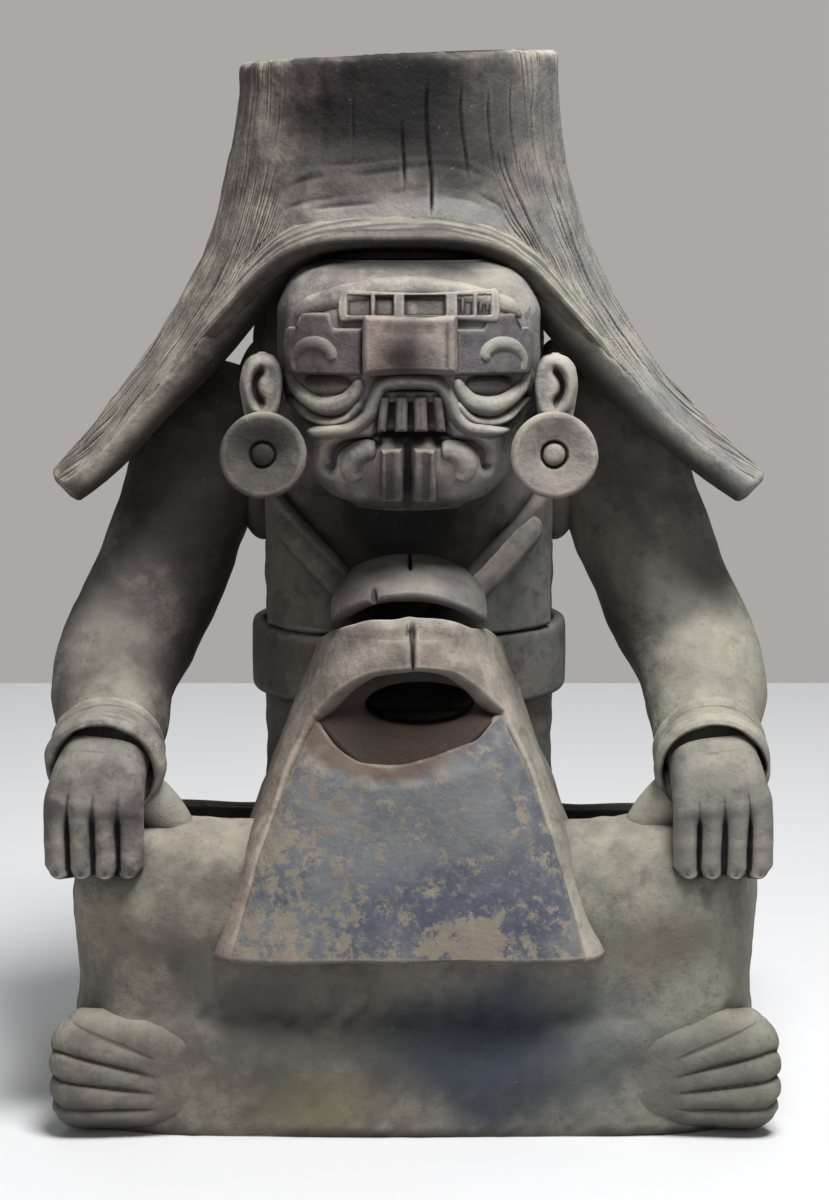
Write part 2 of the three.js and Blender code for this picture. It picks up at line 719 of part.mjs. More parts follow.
const hemSheet = (u, v) => {
  const angle = mix(-WING_ANGLE + 2, WING_ANGLE - 2, u);
  const low = edgeHeight(angle) + 0.5;
  const slope = (edgeHeight(angle + 1) - edgeHeight(angle - 1)) / (2 * bellRadius(low) * radians(1));
  return bellPoint(angle, low + v * HEM_WIDTH * Math.hypot(1, slope * 0.8));
};
const brimHem = cut(solid(slab(hemSheet, 24, 2, HEM_RELIEF, 1.5)), grown(headdress));

// Arms, drawn for the right side
const armPath = new THREE.CatmullRomCurve3([
  vector(VESSEL_R + 18, 8, SHOULDER_HEIGHT + 87),
  vector(VESSEL_R + 26, 6, SHOULDER_HEIGHT + 58),
  vector(VESSEL_R + 35, 4, SHOULDER_HEIGHT + 28),
  vector(ELBOW_X - 22, 0, SHOULDER_HEIGHT),
  vector(ELBOW_X - 12, -6, ELBOW_HEIGHT + 22),
  vector(ELBOW_X, -18, ELBOW_HEIGHT),
  vector(ELBOW_X + 2, -38, WRIST_HEIGHT + 26),
  vector(WRIST_X, -WRIST_REACH + 36, WRIST_HEIGHT + 14),
  vector(WRIST_X, -WRIST_REACH + 18, WRIST_HEIGHT + 7),
  vector(WRIST_X, -WRIST_REACH, WRIST_HEIGHT),
]);
const armRadius = graded([
  [0, 28],
  [0.12, 34],
  [0.35, UPPER_ARM_R],
  [0.55, UPPER_ARM_R],
  [0.68, UPPER_ARM_R - 1.5],
  [0.84, UPPER_ARM_R - 5],
  [0.92, UPPER_ARM_R - 8],
  [1, WRIST_R],
]);

function ringAcross(centre, along, halfWidth, halfThickness, count, power = 2) {
  const aside = vector(1, 0, 0).addScaledVector(along, -along.x).normalize();
  const out = aside.clone().cross(along).normalize();
  return Array.from({ length: count }, (_, i) => {
    const angle = (i / count) * 2 * Math.PI;
    const [s, c] = [Math.sin(angle), Math.cos(angle)];
    return centre
      .clone()
      .addScaledVector(aside, halfWidth * Math.sign(c) * Math.abs(c) ** (2 / power))
      .addScaledVector(out, halfThickness * Math.sign(s) * Math.abs(s) ** (2 / power));
  });
}

function armBody() {
  const rings = [];
  for (let i = 0; i <= ARM_STATIONS; i++) {
    const t = i / ARM_STATIONS;
    const r = armRadius(t);
    rings.push(ringAcross(armPath.getPointAt(t), armPath.getTangentAt(t), r, r, 16));
  }
  const web = new THREE.SphereGeometry(1, 12, 8).scale(16, 18, 38);
  web.translate(VESSEL_R + 6, 0, SHOULDER_HEIGHT + 42);
  return joined([solid(loft(rings)), solid(web)]);
}

// The cuff is turned about +Z from its upper edge, then laid along the wrist.
const cuffStart = vector(WRIST_X, -WRIST_REACH + 14, WRIST_HEIGHT + 5);
function layAlongWrist(geometry) {
  return geometry.rotateX(Math.PI / 2 + WRIST_SLOPE).translate(cuffStart.x, cuffStart.y, cuffStart.z);
}
const cuffInner = (share) => mix(CUFF_R - CUFF_WALL - 1, CUFF_R - CUFF_WALL, share);
const cuff = solid(
  layAlongWrist(
    turned(
      [
        [cuffInner(0), 0],
        [CUFF_R - 1.5, 0],
        [CUFF_R - 0.4, 4],
        [CUFF_R, CUFF_LENGTH - 3],
        [CUFF_R - 1, CUFF_LENGTH],
        [cuffInner(1) + 0.6, CUFF_LENGTH],
        [cuffInner(0.7), CUFF_LENGTH - 5],
        [cuffInner(0), 0],
      ],
      SMALL_ROUND,
    ),
  ),
);
// A plug that fills the cuff from its upper edge on, to keep the arm out of the hand's place.
const handRoom = solid(
  layAlongWrist(turned([[0, 9], [FAR / 4, 9], [FAR / 4, FAR / 2], [0, FAR / 2], [0, 9]], 12)),
);

// Hand: it leaves the cuff, bends over the knee and ends in fingers that lie side by side
const handPath = new THREE.CatmullRomCurve3([
  vector(WRIST_X, -WRIST_REACH + 4, WRIST_HEIGHT + 1.5),
  vector(WRIST_X + 1, -HAND_REACH + 10, WRIST_HEIGHT - 3),
  vector(WRIST_X + 2.5, -HAND_REACH + 2.5, WRIST_HEIGHT - 11),
  vector(HAND_X, -HAND_REACH, WRIST_HEIGHT - 22),
  vector(HAND_X, -HAND_REACH - 0.5, mix(WRIST_HEIGHT, FINGERTIP_HEIGHT, 0.72)),
  vector(HAND_X, -HAND_REACH - 0.5, FINGERTIP_HEIGHT),
]);
const handWidth = graded([
  [0, WRIST_R - 2],
  [0.2, WRIST_R],
  [0.45, HAND_HALF_WIDTH],
  [0.9, HAND_HALF_WIDTH],
  [1, HAND_HALF_WIDTH - 2],
]);
const handThickness = graded([
  [0, WRIST_R - 3],
  [0.2, 15],
  [0.4, 12],
  [0.6, 10],
  [0.9, 8.5],
  [0.97, 7],
  [1, 4],
]);

function handBody() {
  const rings = [];
  for (let i = 0; i <= HAND_STATIONS; i++) {
    const t = i / HAND_STATIONS;
    const [centre, along] = [handPath.getPointAt(t), handPath.getTangentAt(t)];
    const aside = vector(1, 0, 0).addScaledVector(along, -along.x).normalize();
    const out = aside.clone().cross(along).normalize();
    if (out.y > 0) out.negate();
    const [halfWidth, halfThickness] = [handWidth(t), handThickness(t)];
    const split = ease(t, 0.45, 0.62);
    const ring = [];
    const addPoint = (across, up) => {
      const sideways = centre.clone().addScaledVector(aside, across * halfWidth);
      ring.push(sideways.addScaledVector(out, up * halfThickness));
    };
    for (let j = 0; j <= 4 * FINGERS; j++) {
      const across = -1 + (2 * j) / (4 * FINGERS);
      const dome = (1 - Math.abs(across) ** 3.4) ** 0.45;
      const finger = Math.abs(Math.sin((Math.PI * j) / 4)) ** 0.6;
      const groove = (split * FINGER_GROOVE * (1 - finger)) / halfThickness;
      addPoint(across, Math.max(dome, 0.05) * (1 - (j % (4 * FINGERS) === 0 ? 0 : groove)));
    }
    for (let j = 5; j >= 1; j--) {
      const across = -1 + j / 3;
      addPoint(across, -0.9 * (1 - Math.abs(across) ** 4) ** 0.5);
    }
    rings.push(ring);
  }
  return solid(loft(rings));
}

function thumbBody() {
  const path = new THREE.CatmullRomCurve3([
    vector(WRIST_X - 14, -HAND_REACH + 8, WRIST_HEIGHT - 12),
    vector(HAND_X - HAND_HALF_WIDTH - 2, -HAND_REACH + 3, WRIST_HEIGHT - 26),
    vector(HAND_X - HAND_HALF_WIDTH - 4, -HAND_REACH + 1, FINGERTIP_HEIGHT + 9),
  ]);
  const radius = graded([[0, 6], [0.5, 7.5], [0.9, 6.5], [1, 4]]);
  const rings = [0, 0.25, 0.5, 0.75, 0.92, 1].map((t) =>
    ringAcross(path.getPointAt(t), path.getTangentAt(t), radius(t), radius(t) + 2, 8),
  );
  return solid(loft(rings));
}

const bellClear = grown(headdress);
const arms = pairOf(cut(armBody(), grown(tunic), seatClear, grown(cuff), handRoom), vesselCore, bellClear);
const hands = pairOf(cut(joined([handBody(), thumbBody()]), seatClear, grown(cuff), grown(arms.right)));
const cuffs = pairOf(cut(cuff, seatClear));

// Feet: each foot lies on its side at a front corner, its toes pointing outwards
const footFullness = graded([[0, 0.45], [0.3, 0.8], [0.6, 1], [0.84, 1], [0.94, 0.94], [1, 0.8]]);
const footRise = graded([[0, 0.86], [0.5, 1], [0.94, 0.98], [1, 0.86]]);

function footBody() {
  const stations = [0, 0.12, 0.3, 0.5, 0.7, 0.84, 0.94, 1];
  const middle = FOOT_HEIGHT / 2 - 1;
  const rings = stations.map((t) => {
    const x = mix(FOOT_TIP - FOOT_LENGTH, FOOT_TIP, t);
    const halfHeight = middle * footRise(t);
    const front = mix(SEAT_FRONT - 14, FOOT_REACH, footFullness(t));
    const split = ease(t, 0.3, 0.55);
    const ring = [];
    for (let j = 0; j <= 4 * TOES; j++) {
      const up = -1 + (2 * j) / (4 * TOES);
      const dome = (1 - Math.abs(up) ** 3.5) ** 0.5;
      const toe = Math.abs(Math.sin((Math.PI * j) / 4)) ** 0.6;
      const groove = j % (4 * TOES) === 0 ? 0 : split * TOE_GROOVE * (1 - toe);
      const sole = Math.max(middle + up * halfHeight, 0);
      ring.push(vector(x - (1 - dome) * 6 * t, -(front - 22 + 22 * dome - groove), sole));
    }
    for (const up of [0.9, 0.45, 0, -0.45, -0.9]) {
      const z = Math.max((middle + up * halfHeight) * 0.84, 0);
      ring.push(vector(x, -SEAT_FRONT + 54 - 8 * (1 - up * up) * t, z));
    }
    return ring;
  });
  return solid(loft(rings));
}
const foot = footBody();
const feet = {
  right: cut(foot.translate([SEAT_OFFSET, 0, 0]), seatClear),
  left: cut(mirrored(foot).translate([SEAT_OFFSET, 0, 0]), seatClear),
};

// Head
const headWidthShare = graded([
  [0, 0.42],
  [0.05, 0.62],
  [0.14, 0.76],
  [0.3, 0.85],
  [0.45, 0.93],
  [0.62, 1],
  [0.78, 1],
  [0.9, 0.92],
  [0.96, 0.82],
  [1, 0.66],
]);
const headDepthShare = graded([
  [0, 0.72],
  [0.06, 0.84],
  [0.2, 0.96],
  [0.5, 1],
  [0.72, 0.97],
  [0.88, 0.86],
  [1, 0.62],
]);
const headShare = (z) => (z - CHIN_HEIGHT) / (HEAD_TOP - CHIN_HEIGHT);
const headHalfWidth = (z) => HEAD_HALF_WIDTH * headWidthShare(headShare(z));

function face(x, z) {
  const across = Math.min(Math.abs(x) / headHalfWidth(z), 0.97);
  const depth = HEAD_DEPTH * headDepthShare(headShare(z));
  return HEAD_REACH + depth * (1 - across ** HEAD_POWER) ** (1 / HEAD_POWER);
}

function headRing(z) {
  const [halfWidth, depth] = [headHalfWidth(z), HEAD_DEPTH * headDepthShare(headShare(z))];
  return Array.from({ length: SMALL_ROUND }, (_, i) => {
    const angle = ((i + 0.5) / SMALL_ROUND) * 2 * Math.PI;
    const [s, c] = [Math.sin(angle), Math.cos(angle)];
    return vector(
      halfWidth * Math.sign(s) * Math.abs(s) ** (2 / HEAD_POWER),
      -HEAD_REACH - (c > 0 ? depth : HEAD_REACH) * Math.sign(c) * Math.abs(c) ** (2 / HEAD_POWER),
      z,
    );
  });
}
const HEAD_LEVELS = [0, 0.035, 0.1, 0.2, 0.32, 0.45, 0.58, 0.7, 0.82, 0.9, 0.96, 1];
const headWhole = solid(loft(HEAD_LEVELS.map((share) => headRing(mix(CHIN_HEIGHT, HEAD_TOP, share)))));
const head = cut(headWhole, vesselCore, grown(tunic), bellClear, grown(knotCap));
const headClear = grown(headWhole);
const onFace = (piece, ...others) => cut(piece, headClear, ...others);

// Mask: everything below is measured from the eye line or the mouth line, and the middle of the face
const aboveEyes = (path) => path.map(([x, rise]) => [x, EYE_LINE + rise]);
const aboveMouth = (path) => path.map(([x, rise]) => [x, MOUTH_LINE + rise]);
const bothSides = (path) => [...path.map(([x, z]) => [-x, z]), ...path.slice().reverse()];

function block(width, height, thickness, x, z, rounding = 2) {
  const outline = new THREE.Shape();
  const [w, h] = [width / 2 - rounding, height / 2 - rounding];
  outline.absarc(w, h, rounding, 0, Math.PI / 2);
  outline.absarc(-w, h, rounding, Math.PI / 2, Math.PI);
  outline.absarc(-w, -h, rounding, Math.PI, 1.5 * Math.PI);
  outline.absarc(w, -h, rounding, 1.5 * Math.PI, 2 * Math.PI);
  const bevel = { bevelThickness: 1.5, bevelSize: 1.5, bevelOffset: -1.5, bevelSegments: 1 };
  const depth = thickness + 8;
  const geometry = new THREE.ExtrudeGeometry(outline, { depth, curveSegments: 1, ...bevel });
  return solid(geometry.rotateX(Math.PI / 2).translate(x, 9.5 - face(x, z), z));
}

const snout = onFace(block(SNOUT_WIDTH, SNOUT_HEIGHT, SNOUT_DEPTH, 0.5, EYE_LINE + SNOUT_HEIGHT / 2, 6));
const browBand = onFace(
  strip(face, aboveEyes(bothSides([[52, 25], [40, 32], [22, 35], [7, 35.5]])), 7, 4.5, { stations: 14 }),
);
function browPlate(u, v) {
  const x = mix(SNOUT_WIDTH / 2 + 1, HEAD_HALF_WIDTH - 6, u) - 2.5 * Math.abs(2 * v - 1) ** 6 * u;
  const z = EYE_LINE + mix(0.5, 25 - 3 * u ** 4, v);
  return vector(x, -face(x, z), z);
}
const browPlates = pairOf(
  solid(slab(browPlate, 7, 4, PLATE_THICKNESS, -LUTE - 0.1)).subtract(grown(snout)).subtract(grown(browBand)),
);

// A row of sunk cells on the forehead: each is given by its middle and its width.
const ROW_HEIGHT = EYE_LINE + 29;
const CELLS = [[-23, 5.5], [-12, 5.5], [9, 15], [24, 5.5], [32, 5.5]];
const cellCutters = CELLS.map(([x, width]) => box(width, 8, 5.5, x, -face(x, ROW_HEIGHT) - 3.2, ROW_HEIGHT));
const glyphRow = cut(
  onFace(block(74, 9, 2.2, 1.5, ROW_HEIGHT, 2), grown(snout), grown(browBand), ...bothOf(browPlates)),
  ...cellCutters,
);
const plateFace = (x, z) => face(x, z) + PLATE_THICKNESS + 0.6;
const curlPath = aboveEyes([[51.5, 2], [51, 9], [46.5, 14], [39, 14.5], [35, 11]]);
const browCurls = pairOf(
  cut(strip(plateFace, curlPath, 5, 2.6, { stations: 9, taper: 0.6 }), grown(browPlates.right, 0.5)),
);
const eyeballs = pairOf(
  onFace(
    solid(
      new THREE.SphereGeometry(1, 12, 7)
        .scale(11, 4.5, 5)
        .translate(EYE_X, -face(EYE_X, EYE_LINE - 4.5) - 0.6, EYE_LINE - 4.5),
    ),
    grown(browPlates.right, 0.6),
  ),
);
const lidPath = aboveEyes([[54, 3], [51, -8.5], [43.5, -14.5], [34.5, -16.5], [25.5, -13.5], [20.8, -4]]);
const lowerLids = pairOf(
  onFace(strip(face, lidPath, 6, 4.5, { taper: 0.7 }), grown(browCurls.right), grown(eyeballs.right)),
  grown(snout),
  ...bothOf(browPlates),
);
const upperLip = onFace(
  strip(
    face,
    aboveMouth([
      ...[[-43, 5.5], [-29, 9], [-21.5, 17], [-15.5, 26], [-8, 27.8]],
      ...[[8, 27.8], [15.5, 26], [21.5, 17], [29, 9], [43, 5.5]],
    ]),
    5.4,
    6.5,
    { stations: 16, taper: 0.7 },
  ),
  grown(snout),
  ...bothOf(lowerLids),
);
// Four teeth hang from one gum.
const TEETH = [[-11.8, 5], [-4, 7], [4.5, 7], [12.6, 5]];
const toothMiddle = MOUTH_LINE + 2 + TOOTH_LENGTH / 2;
const upperTeeth = onFace(
  joined([
    block(32, 8, 2.2, 0.5, MOUTH_LINE + 15.5),
    ...TEETH.map(([x, width]) => block(width, TOOTH_LENGTH, 3.6, x, toothMiddle, CORNER)),
  ]),
  grown(upperLip),
);
const mouthCurlPath = aboveMouth([[15.5, -5], [20, -2.5], [27, -3.2], [32, -9], [33, -15]]);
const mouthCurls = pairOf(onFace(strip(face, mouthCurlPath, 5, 4, { stations: 8, taper: 0.6 })));
const tongueMiddle = MOUTH_LINE - 1 - TONGUE_LENGTH / 2;
const tongue = [-7.3, 7].map((x) =>
  onFace(
    block(TONGUE_WIDTH, TONGUE_LENGTH, 4.5, x, tongueMiddle, CORNER),
    grown(upperTeeth),
    ...bothOf(mouthCurls),
  ),
);

// Ears: a curled plate whose long lobe carries a spool
function earPlate() {
  const outline = new THREE.Shape();
  outline.moveTo(-10, -8);
  outline.quadraticCurveTo(-12, 0, -6, 4);
  outline.quadraticCurveTo(3, 5, 7, -7);
  outline.quadraticCurveTo(10, -20, 6, -30);
  outline.lineTo(6, -58);
  outline.quadraticCurveTo(-2, -64, -10, -56);
  const geometry = new THREE.ExtrudeGeometry(outline, { depth: 16, bevelEnabled: false, curveSegments: 4 });
  return solid(geometry.rotateX(Math.PI / 2).translate(EAR_X, -EAR_FRONT + 16, EAR_TOP - 5));
}
const earHollow = solid(
  new THREE.SphereGeometry(1, 10, 6).scale(4.5, 5, 9).translate(EAR_X - 1, -EAR_FRONT, EAR_TOP - 20),
);
const ears = pairOf(cut(earPlate(), headClear, earHollow), vesselCore, bellClear, ...bothOf(arms));

// Spools are turned about +Z, then faced to the front.
const spoolProfile = [
  [SPOOL_HOLE_R + 2, 0],
  [SPOOL_R - 6, 0],
  [SPOOL_R, SPOOL_THICKNESS - 4],
  [SPOOL_R, SPOOL_THICKNESS - 1.5],
  [SPOOL_R - 1.5, SPOOL_THICKNESS],
  [SPOOL_HOLE_R, SPOOL_THICKNESS - 2],
  [SPOOL_HOLE_R, 3],
];
const bossProfile = [[0, 0], [BOSS_R, 0], [BOSS_R, 5], [BOSS_R - 1.6, 6.4], [0, 6.8]];

// The scene graph
const urn = new THREE.Group();
const group = (name) => {
  const part = new THREE.Group();
  part.name = name;
  urn.add(part);
  return part;
};
function place(parent, name, piece, material) {
  const mesh = new THREE.Mesh(geometryOf(piece), material);
  mesh.name = name;
  parent.add(mesh);
}
function placePair(parent, name, pair, material) {
  place(parent, `right_${name}`, pair.right, material);
  place(parent, `left_${name}`, pair.left, material);
}

const seat = group("seat");
place(seat, "crossed_legs", legWall, GREY);
place(seat, "seat_back_wall", seatBackWall, GREY);
place(seat, "floor_slab", floorSlab(), GREY);
placePair(seat, "foot", feet, GREY);

const vessel = group("vessel");
place(vessel, "vessel_tube", vesselTube, GREY);
place(vessel, "vessel_floor", vesselFloor, GREY);

const dress = group("dress");
place(dress, "tunic_front", tunic, GREY);
placePair(dress, "collar_band", collars, GREY);
place(dress, "waist_sash", sash, GREY);
place(dress, "apron_panel", apronPanel, SLATE);
place(dress, "hood_arch", hoodArch, BUFF);
place(dress, "hood_lining", hoodLining, BUFF);
place(dress, "knot_cap", knotCap, GREY);

const limbs = group("limbs");
placePair(limbs, "arm", arms, BUFF);
placePair(limbs, "cuff", cuffs, PALE);
placePair(limbs, "hand", hands, BUFF);

const mask = group("mask");
place(mask, "head", head, BUFF);
place(mask, "forehead_band", browBand, PALE);
place(mask, "glyph_row", glyphRow, PALE);
place(mask, "snout", snout, GREY);
placePair(mask, "brow_plate", browPlates, GREY);
placePair(mask, "brow_curl", browCurls, BUFF);
placePair(mask, "eyeball", eyeballs, GREY);
placePair(mask, "lower_eyelid", lowerLids, BUFF);
place(mask, "upper_lip", upperLip, BUFF);
place(mask, "upper_teeth", upperTeeth, GREY);
place(mask, "left_tongue_fork", tongue[0], GREY);
place(mask, "right_tongue_fork", tongue[1], GREY);
placePair(mask, "mouth_curl", mouthCurls, BUFF);
placePair(mask, "ear", ears, BUFF);
for (const [side, sign] of [["left", -1], ["right", 1]]) {
  const jewel = new THREE.Group();
  jewel.position.set(sign * SPOOL_X, -EAR_FRONT - LUTE, SPOOL_HEIGHT);
  jewel.rotation.x = Math.PI / 2;
  mask.add(jewel);
  place(jewel, `${side}_ear_spool`, closedTurned(spoolProfile, SMALL_ROUND), PALE);
  place(jewel, `${side}_spool_boss`, closedTurned(bossProfile, 12), PALE);
}

const hat = group("hat");
place(hat, "headdress_bell", headdress, SOOTY);
place(hat, "headdress_hem", brimHem, BUFF);

export default urn;
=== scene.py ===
"""The looks of a fired-clay effigy urn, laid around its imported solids.

Shapes are worked out in millimetres and written into the meshes in metres. +Z is up, the figure faces -Y,
and left and right are the viewer's, looking at the front.
"""
import math

import bmesh
import bpy
import numpy as np
from numpy import clip, concatenate, cos, exp, hypot, linspace, maximum, minimum, pi, sign, sin, sqrt, where
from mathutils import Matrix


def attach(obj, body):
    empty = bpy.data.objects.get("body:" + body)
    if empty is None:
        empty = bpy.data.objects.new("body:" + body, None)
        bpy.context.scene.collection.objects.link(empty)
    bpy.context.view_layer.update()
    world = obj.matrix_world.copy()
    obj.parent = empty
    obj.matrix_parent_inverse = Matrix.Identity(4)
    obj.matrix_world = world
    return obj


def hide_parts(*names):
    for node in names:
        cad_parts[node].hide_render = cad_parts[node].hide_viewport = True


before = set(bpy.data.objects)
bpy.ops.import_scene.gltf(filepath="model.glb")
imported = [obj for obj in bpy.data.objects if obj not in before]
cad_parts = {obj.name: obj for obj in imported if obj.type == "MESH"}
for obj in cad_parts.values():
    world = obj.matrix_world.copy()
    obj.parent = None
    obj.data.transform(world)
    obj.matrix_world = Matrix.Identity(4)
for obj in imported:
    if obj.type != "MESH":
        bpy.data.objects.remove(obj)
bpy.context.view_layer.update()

MM = 0.001
SIDES = (("right", 1), ("left", -1))

# View, in metres and degrees
CAMERA_PLACE = (0.0027, -1.5, 0.4604)
CAMERA_PITCH = 8.62

# Clay
WALL = 12
THIN_WALL = 8
LUTE = 0.3

# Seat
SEAT_HALF_WIDTH = 163
SEAT_OFFSET = 3
SEAT_FRONT = 122
SEAT_BACK = 98
SEAT_POWER = 6
LEG_SWEEP = 118.5
BACK_WALL_START = 116
LAP_HEIGHT = 144
BACK_WALL_HEIGHT = 116
BACK_WALL_JOINT = 70
SEAT_MIDDLE = (SEAT_BACK - SEAT_FRONT) / 2
SEAT_HALF_DEPTH = (SEAT_BACK + SEAT_FRONT) / 2

# Vessel
VESSEL_R = 70
VESSEL_WALL = 10
NECK_BASE = 384
NECK_HEIGHT = 424
NECK_R = 61.4
MOUTH_HEIGHT = 488
VESSEL_BASE = 12.3

# Headdress
CROWN_R = 76
CROWN_HEIGHT = 495
BELL_WALL = 14
BRIM_R = 173
BRIM_HEIGHT = 297
BELL_POWER = 2.2
ARCH_HEIGHT = 410
ARCH_POWER = 3.7
WING_ANGLE = 68
BRIM_SWEEP = 108
CROWN_SWEEP = 133
RIM_TILT = 3
LEAN = 5
LEAN_RISE = 45
HEM_WIDTH = 18
HEM_RELIEF = 3
SLITS = [
    (-15, 470, 14, 0.25), (1.7, 462, 25, 0.8), (10.3, 479, 55, 1.0), (22.6, 475, 34, 0.8),
    (33, 472, 26, 0.7), (43, 474, 30, 0.7), (54, 470, 26, 0.6),
]

# Tunic and sash
TUNIC_THICKNESS = 6.5
TUNIC_ANGLE = 64
TUNIC_TOP = 292
NECKLINE_DEPTH = 61
NECKLINE_HALF_WIDTH = 66
COLLAR_WIDTH = 11
SASH_TOP = 225.7
SASH_HEIGHT = 34
SASH_THICKNESS = 6.5

# Hooded apron
HEM_HEIGHT = 86
HOOD_SHOULDER = 232
HOOD_TOP = 264
HOOD_HEM_HALF_WIDTH = 94
HOOD_TOP_HALF_WIDTH = 40
HOOD_HEM_REACH = 135
HOOD_TOP_REACH = 116
HOOD_BACK = 40
CAP_OVERLAP = 3.4
MOUTH_MIDDLE = 197

# Arms and hands
WRIST_X = 140
WRIST_HEIGHT = 172
WRIST_REACH = 94
WRIST_SLOPE = math.pi / 10
UPPER_ARM_R = 32
CUFF_R = 27
CUFF_LENGTH = 26
CUFF_WALL = 4
HAND_HALF_WIDTH = 23
FINGERS = 4
FINGER_GROOVE = 9

# Feet
FOOT_TIP = 169
FOOT_LENGTH = 81
FOOT_HEIGHT = 60
FOOT_REACH = 128
TOES = 4
TOE_GROOVE = 3

# Head and mask
HEAD_TOP = 402
CHIN_HEIGHT = 289
HEAD_HALF_WIDTH = 61
HEAD_DEPTH = 54
HEAD_REACH = 58
HEAD_POWER = 2.7
EYE_LINE = 351
MOUTH_LINE = 323
EAR_X = 68
EAR_TOP = 363
EAR_FRONT = 96
SPOOL_X = 66
SPOOL_HEIGHT = 315
SPOOL_R = 20
SPOOL_HOLE_R = 7


# Numbers along curves

def mix(a, b, t):
    """The value a share t of the way from a to b."""
    return a + (b - a) * t


def ease(value, low, high):
    """A smooth step from 0 at low to 1 at high: 3t^2 - 2t^3."""
    t = clip((value - low) / (high - low), 0, 1)
    return t * t * (3 - 2 * t)


def hump(value, middle, reach):
    """A bell that is 1 in the middle and fades out: exp(-(distance / reach)^2)."""
    return exp(-(((value - middle) / reach) ** 2))


def bow(t, power=2):
    """The height of a quarter circle over a share of its radius: sqrt(1 - t^2), or with another power."""
    return sqrt(maximum(1 - t**power, 0))


def spot(x, z, place, reach):
    """A bell of two directions: exp(-(distance in x / its reach)^2 - (distance in z / its reach)^2)."""
    return exp(-(((x - place[0]) / reach[0]) ** 2) - (((z - place[1]) / reach[1]) ** 2))


def graded(at, knots):
    """A cubic through [position, value] knots whose slopes are harmonic means, so it never overshoots."""
    x, y = np.array(knots, float).T
    secants = np.diff(y) / np.diff(x)
    before, after = secants[:-1], secants[1:]
    same = before * after > 0
    slopes = np.zeros_like(y)
    slopes[1:-1] = where(same, 2 * before * after / where(same, before + after, 1), 0)
    at = clip(np.asarray(at, float), x[0], x[-1])
    i = clip(np.searchsorted(x, at) - 1, 0, len(x) - 2)
    span = x[i + 1] - x[i]
    t = (at - x[i]) / span
    ends = (2 * t**3 - 3 * t**2 + 1) * y[i] + (3 * t**2 - 2 * t**3) * y[i + 1]
    return ends + span * ((t**3 - 2 * t**2 + t) * slopes[i] + (t**3 - t**2) * slopes[i + 1])


def resampled(line, places):
    """The line at places(its whole length), which are distances along it, straight between its points."""
    length = concatenate([[0], np.cumsum(np.linalg.norm(np.diff(line, axis=0), axis=1))])
    return np.stack([np.interp(places(length[-1]), length, column) for column in line.T], axis=-1)


def route(points, shares):
    """A Catmull-Rom curve through the points, resampled so that each share is a share of its length."""
    p = np.array(points, float)
    p = np.vstack([2 * p[0] - p[1], p, 2 * p[-1] - p[-2]])
    fine = linspace(0, len(points) - 1, 60 * len(points))
    i = clip(fine.astype(int), 0, len(points) - 2)
    t = (fine - i)[:, None]
    a, b, c, d = p[i], p[i + 1], p[i + 2], p[i + 3]
    line = 0.5 * (2 * b + (c - a) * t + (2 * a - 5 * b + 4 * c - d) * t**2 + (3 * b - a - 3 * c + d) * t**3)
    return resampled(line, lambda whole: np.asarray(shares) * whole)


def crowded(count, edge=0.5):
    """Shares from 0 to 1 that crowd towards both ends: a straight run mixed with a cosine one."""
    t = linspace(0, 1, count)
    return mix(t, (1 - cos(pi * t)) / 2, edge)


def circle(count):
    """A row of even angles from 0 all round, as radians."""
    return linspace(0, 2 * pi, count, endpoint=False)[None, :]


def ripple(points, size, seed):
    """Smooth uneven waves about one size long, mostly within -1 to 1: the sum of 14 sines in mixed
    directions, over 5."""
    draw = np.random.default_rng(seed)
    directions = draw.normal(size=(14, 3))
    directions /= np.linalg.norm(directions, axis=1)[:, None]
    waves = directions * (2 * pi / size) * draw.uniform(0.6, 1.5, 14)[:, None]
    phases = draw.uniform(0, 2 * pi, 14)
    return sin(points @ waves.T + phases).sum(axis=-1) / 5


def unit(vectors):
    """The vectors at length 1."""
    return vectors / maximum(np.linalg.norm(vectors, axis=-1, keepdims=True), 1e-9)


def stack(x, y, z):
    """Points from three coordinate arrays that are broadcast to one shape."""
    return np.stack(np.broadcast_arrays(x, y, z), axis=-1).astype(float)


def pushed(points, directions, amount):
    """The points moved along their directions by an amount each."""
    return points + directions * amount[..., None]


def skin_normals(points, wrap=False):
    """Normals of a grid: the cross product of its two difference directions."""
    across = np.gradient(points, axis=0)
    if wrap:
        padded = concatenate([points[:, -1:], points, points[:, :1]], axis=1)
        along = (padded[:, 2:] - padded[:, :-2]) / 2
    else:
        along = np.gradient(points, axis=1)
    return unit(np.cross(across, along))


def edge_distance(grid):
    """How far each point of a grid is from its nearest edge, added up along the grid's lines."""
    down = np.cumsum(np.linalg.norm(np.diff(grid, axis=0, prepend=grid[:1]), axis=-1), axis=0)
    over = np.cumsum(np.linalg.norm(np.diff(grid, axis=1, prepend=grid[:, :1]), axis=-1), axis=1)
    return minimum(minimum(down, down[-1:] - down), minimum(over, over[:, -1:] - over))


def surface_normal(face, x, z):
    """The outward normal of a surface whose reach in front of the axis is face(x, z), from its two slopes."""
    slope_x = face(x + 1, z) - face(x - 1, z)
    slope_z = face(x, z + 1) - face(x, z - 1)
    return unit(stack(-slope_x, -2, -slope_z))


def handmade(points, size, seed, wrap=True):
    """The grid moved along its normals by slow waves 45 mm and 14 mm long, as hands leave clay."""
    waves = ripple(points, 45, seed) + 0.35 * ripple(points, 14, seed + 50)
    return pushed(points, skin_normals(points, wrap), size * waves)


# Grids made into meshes

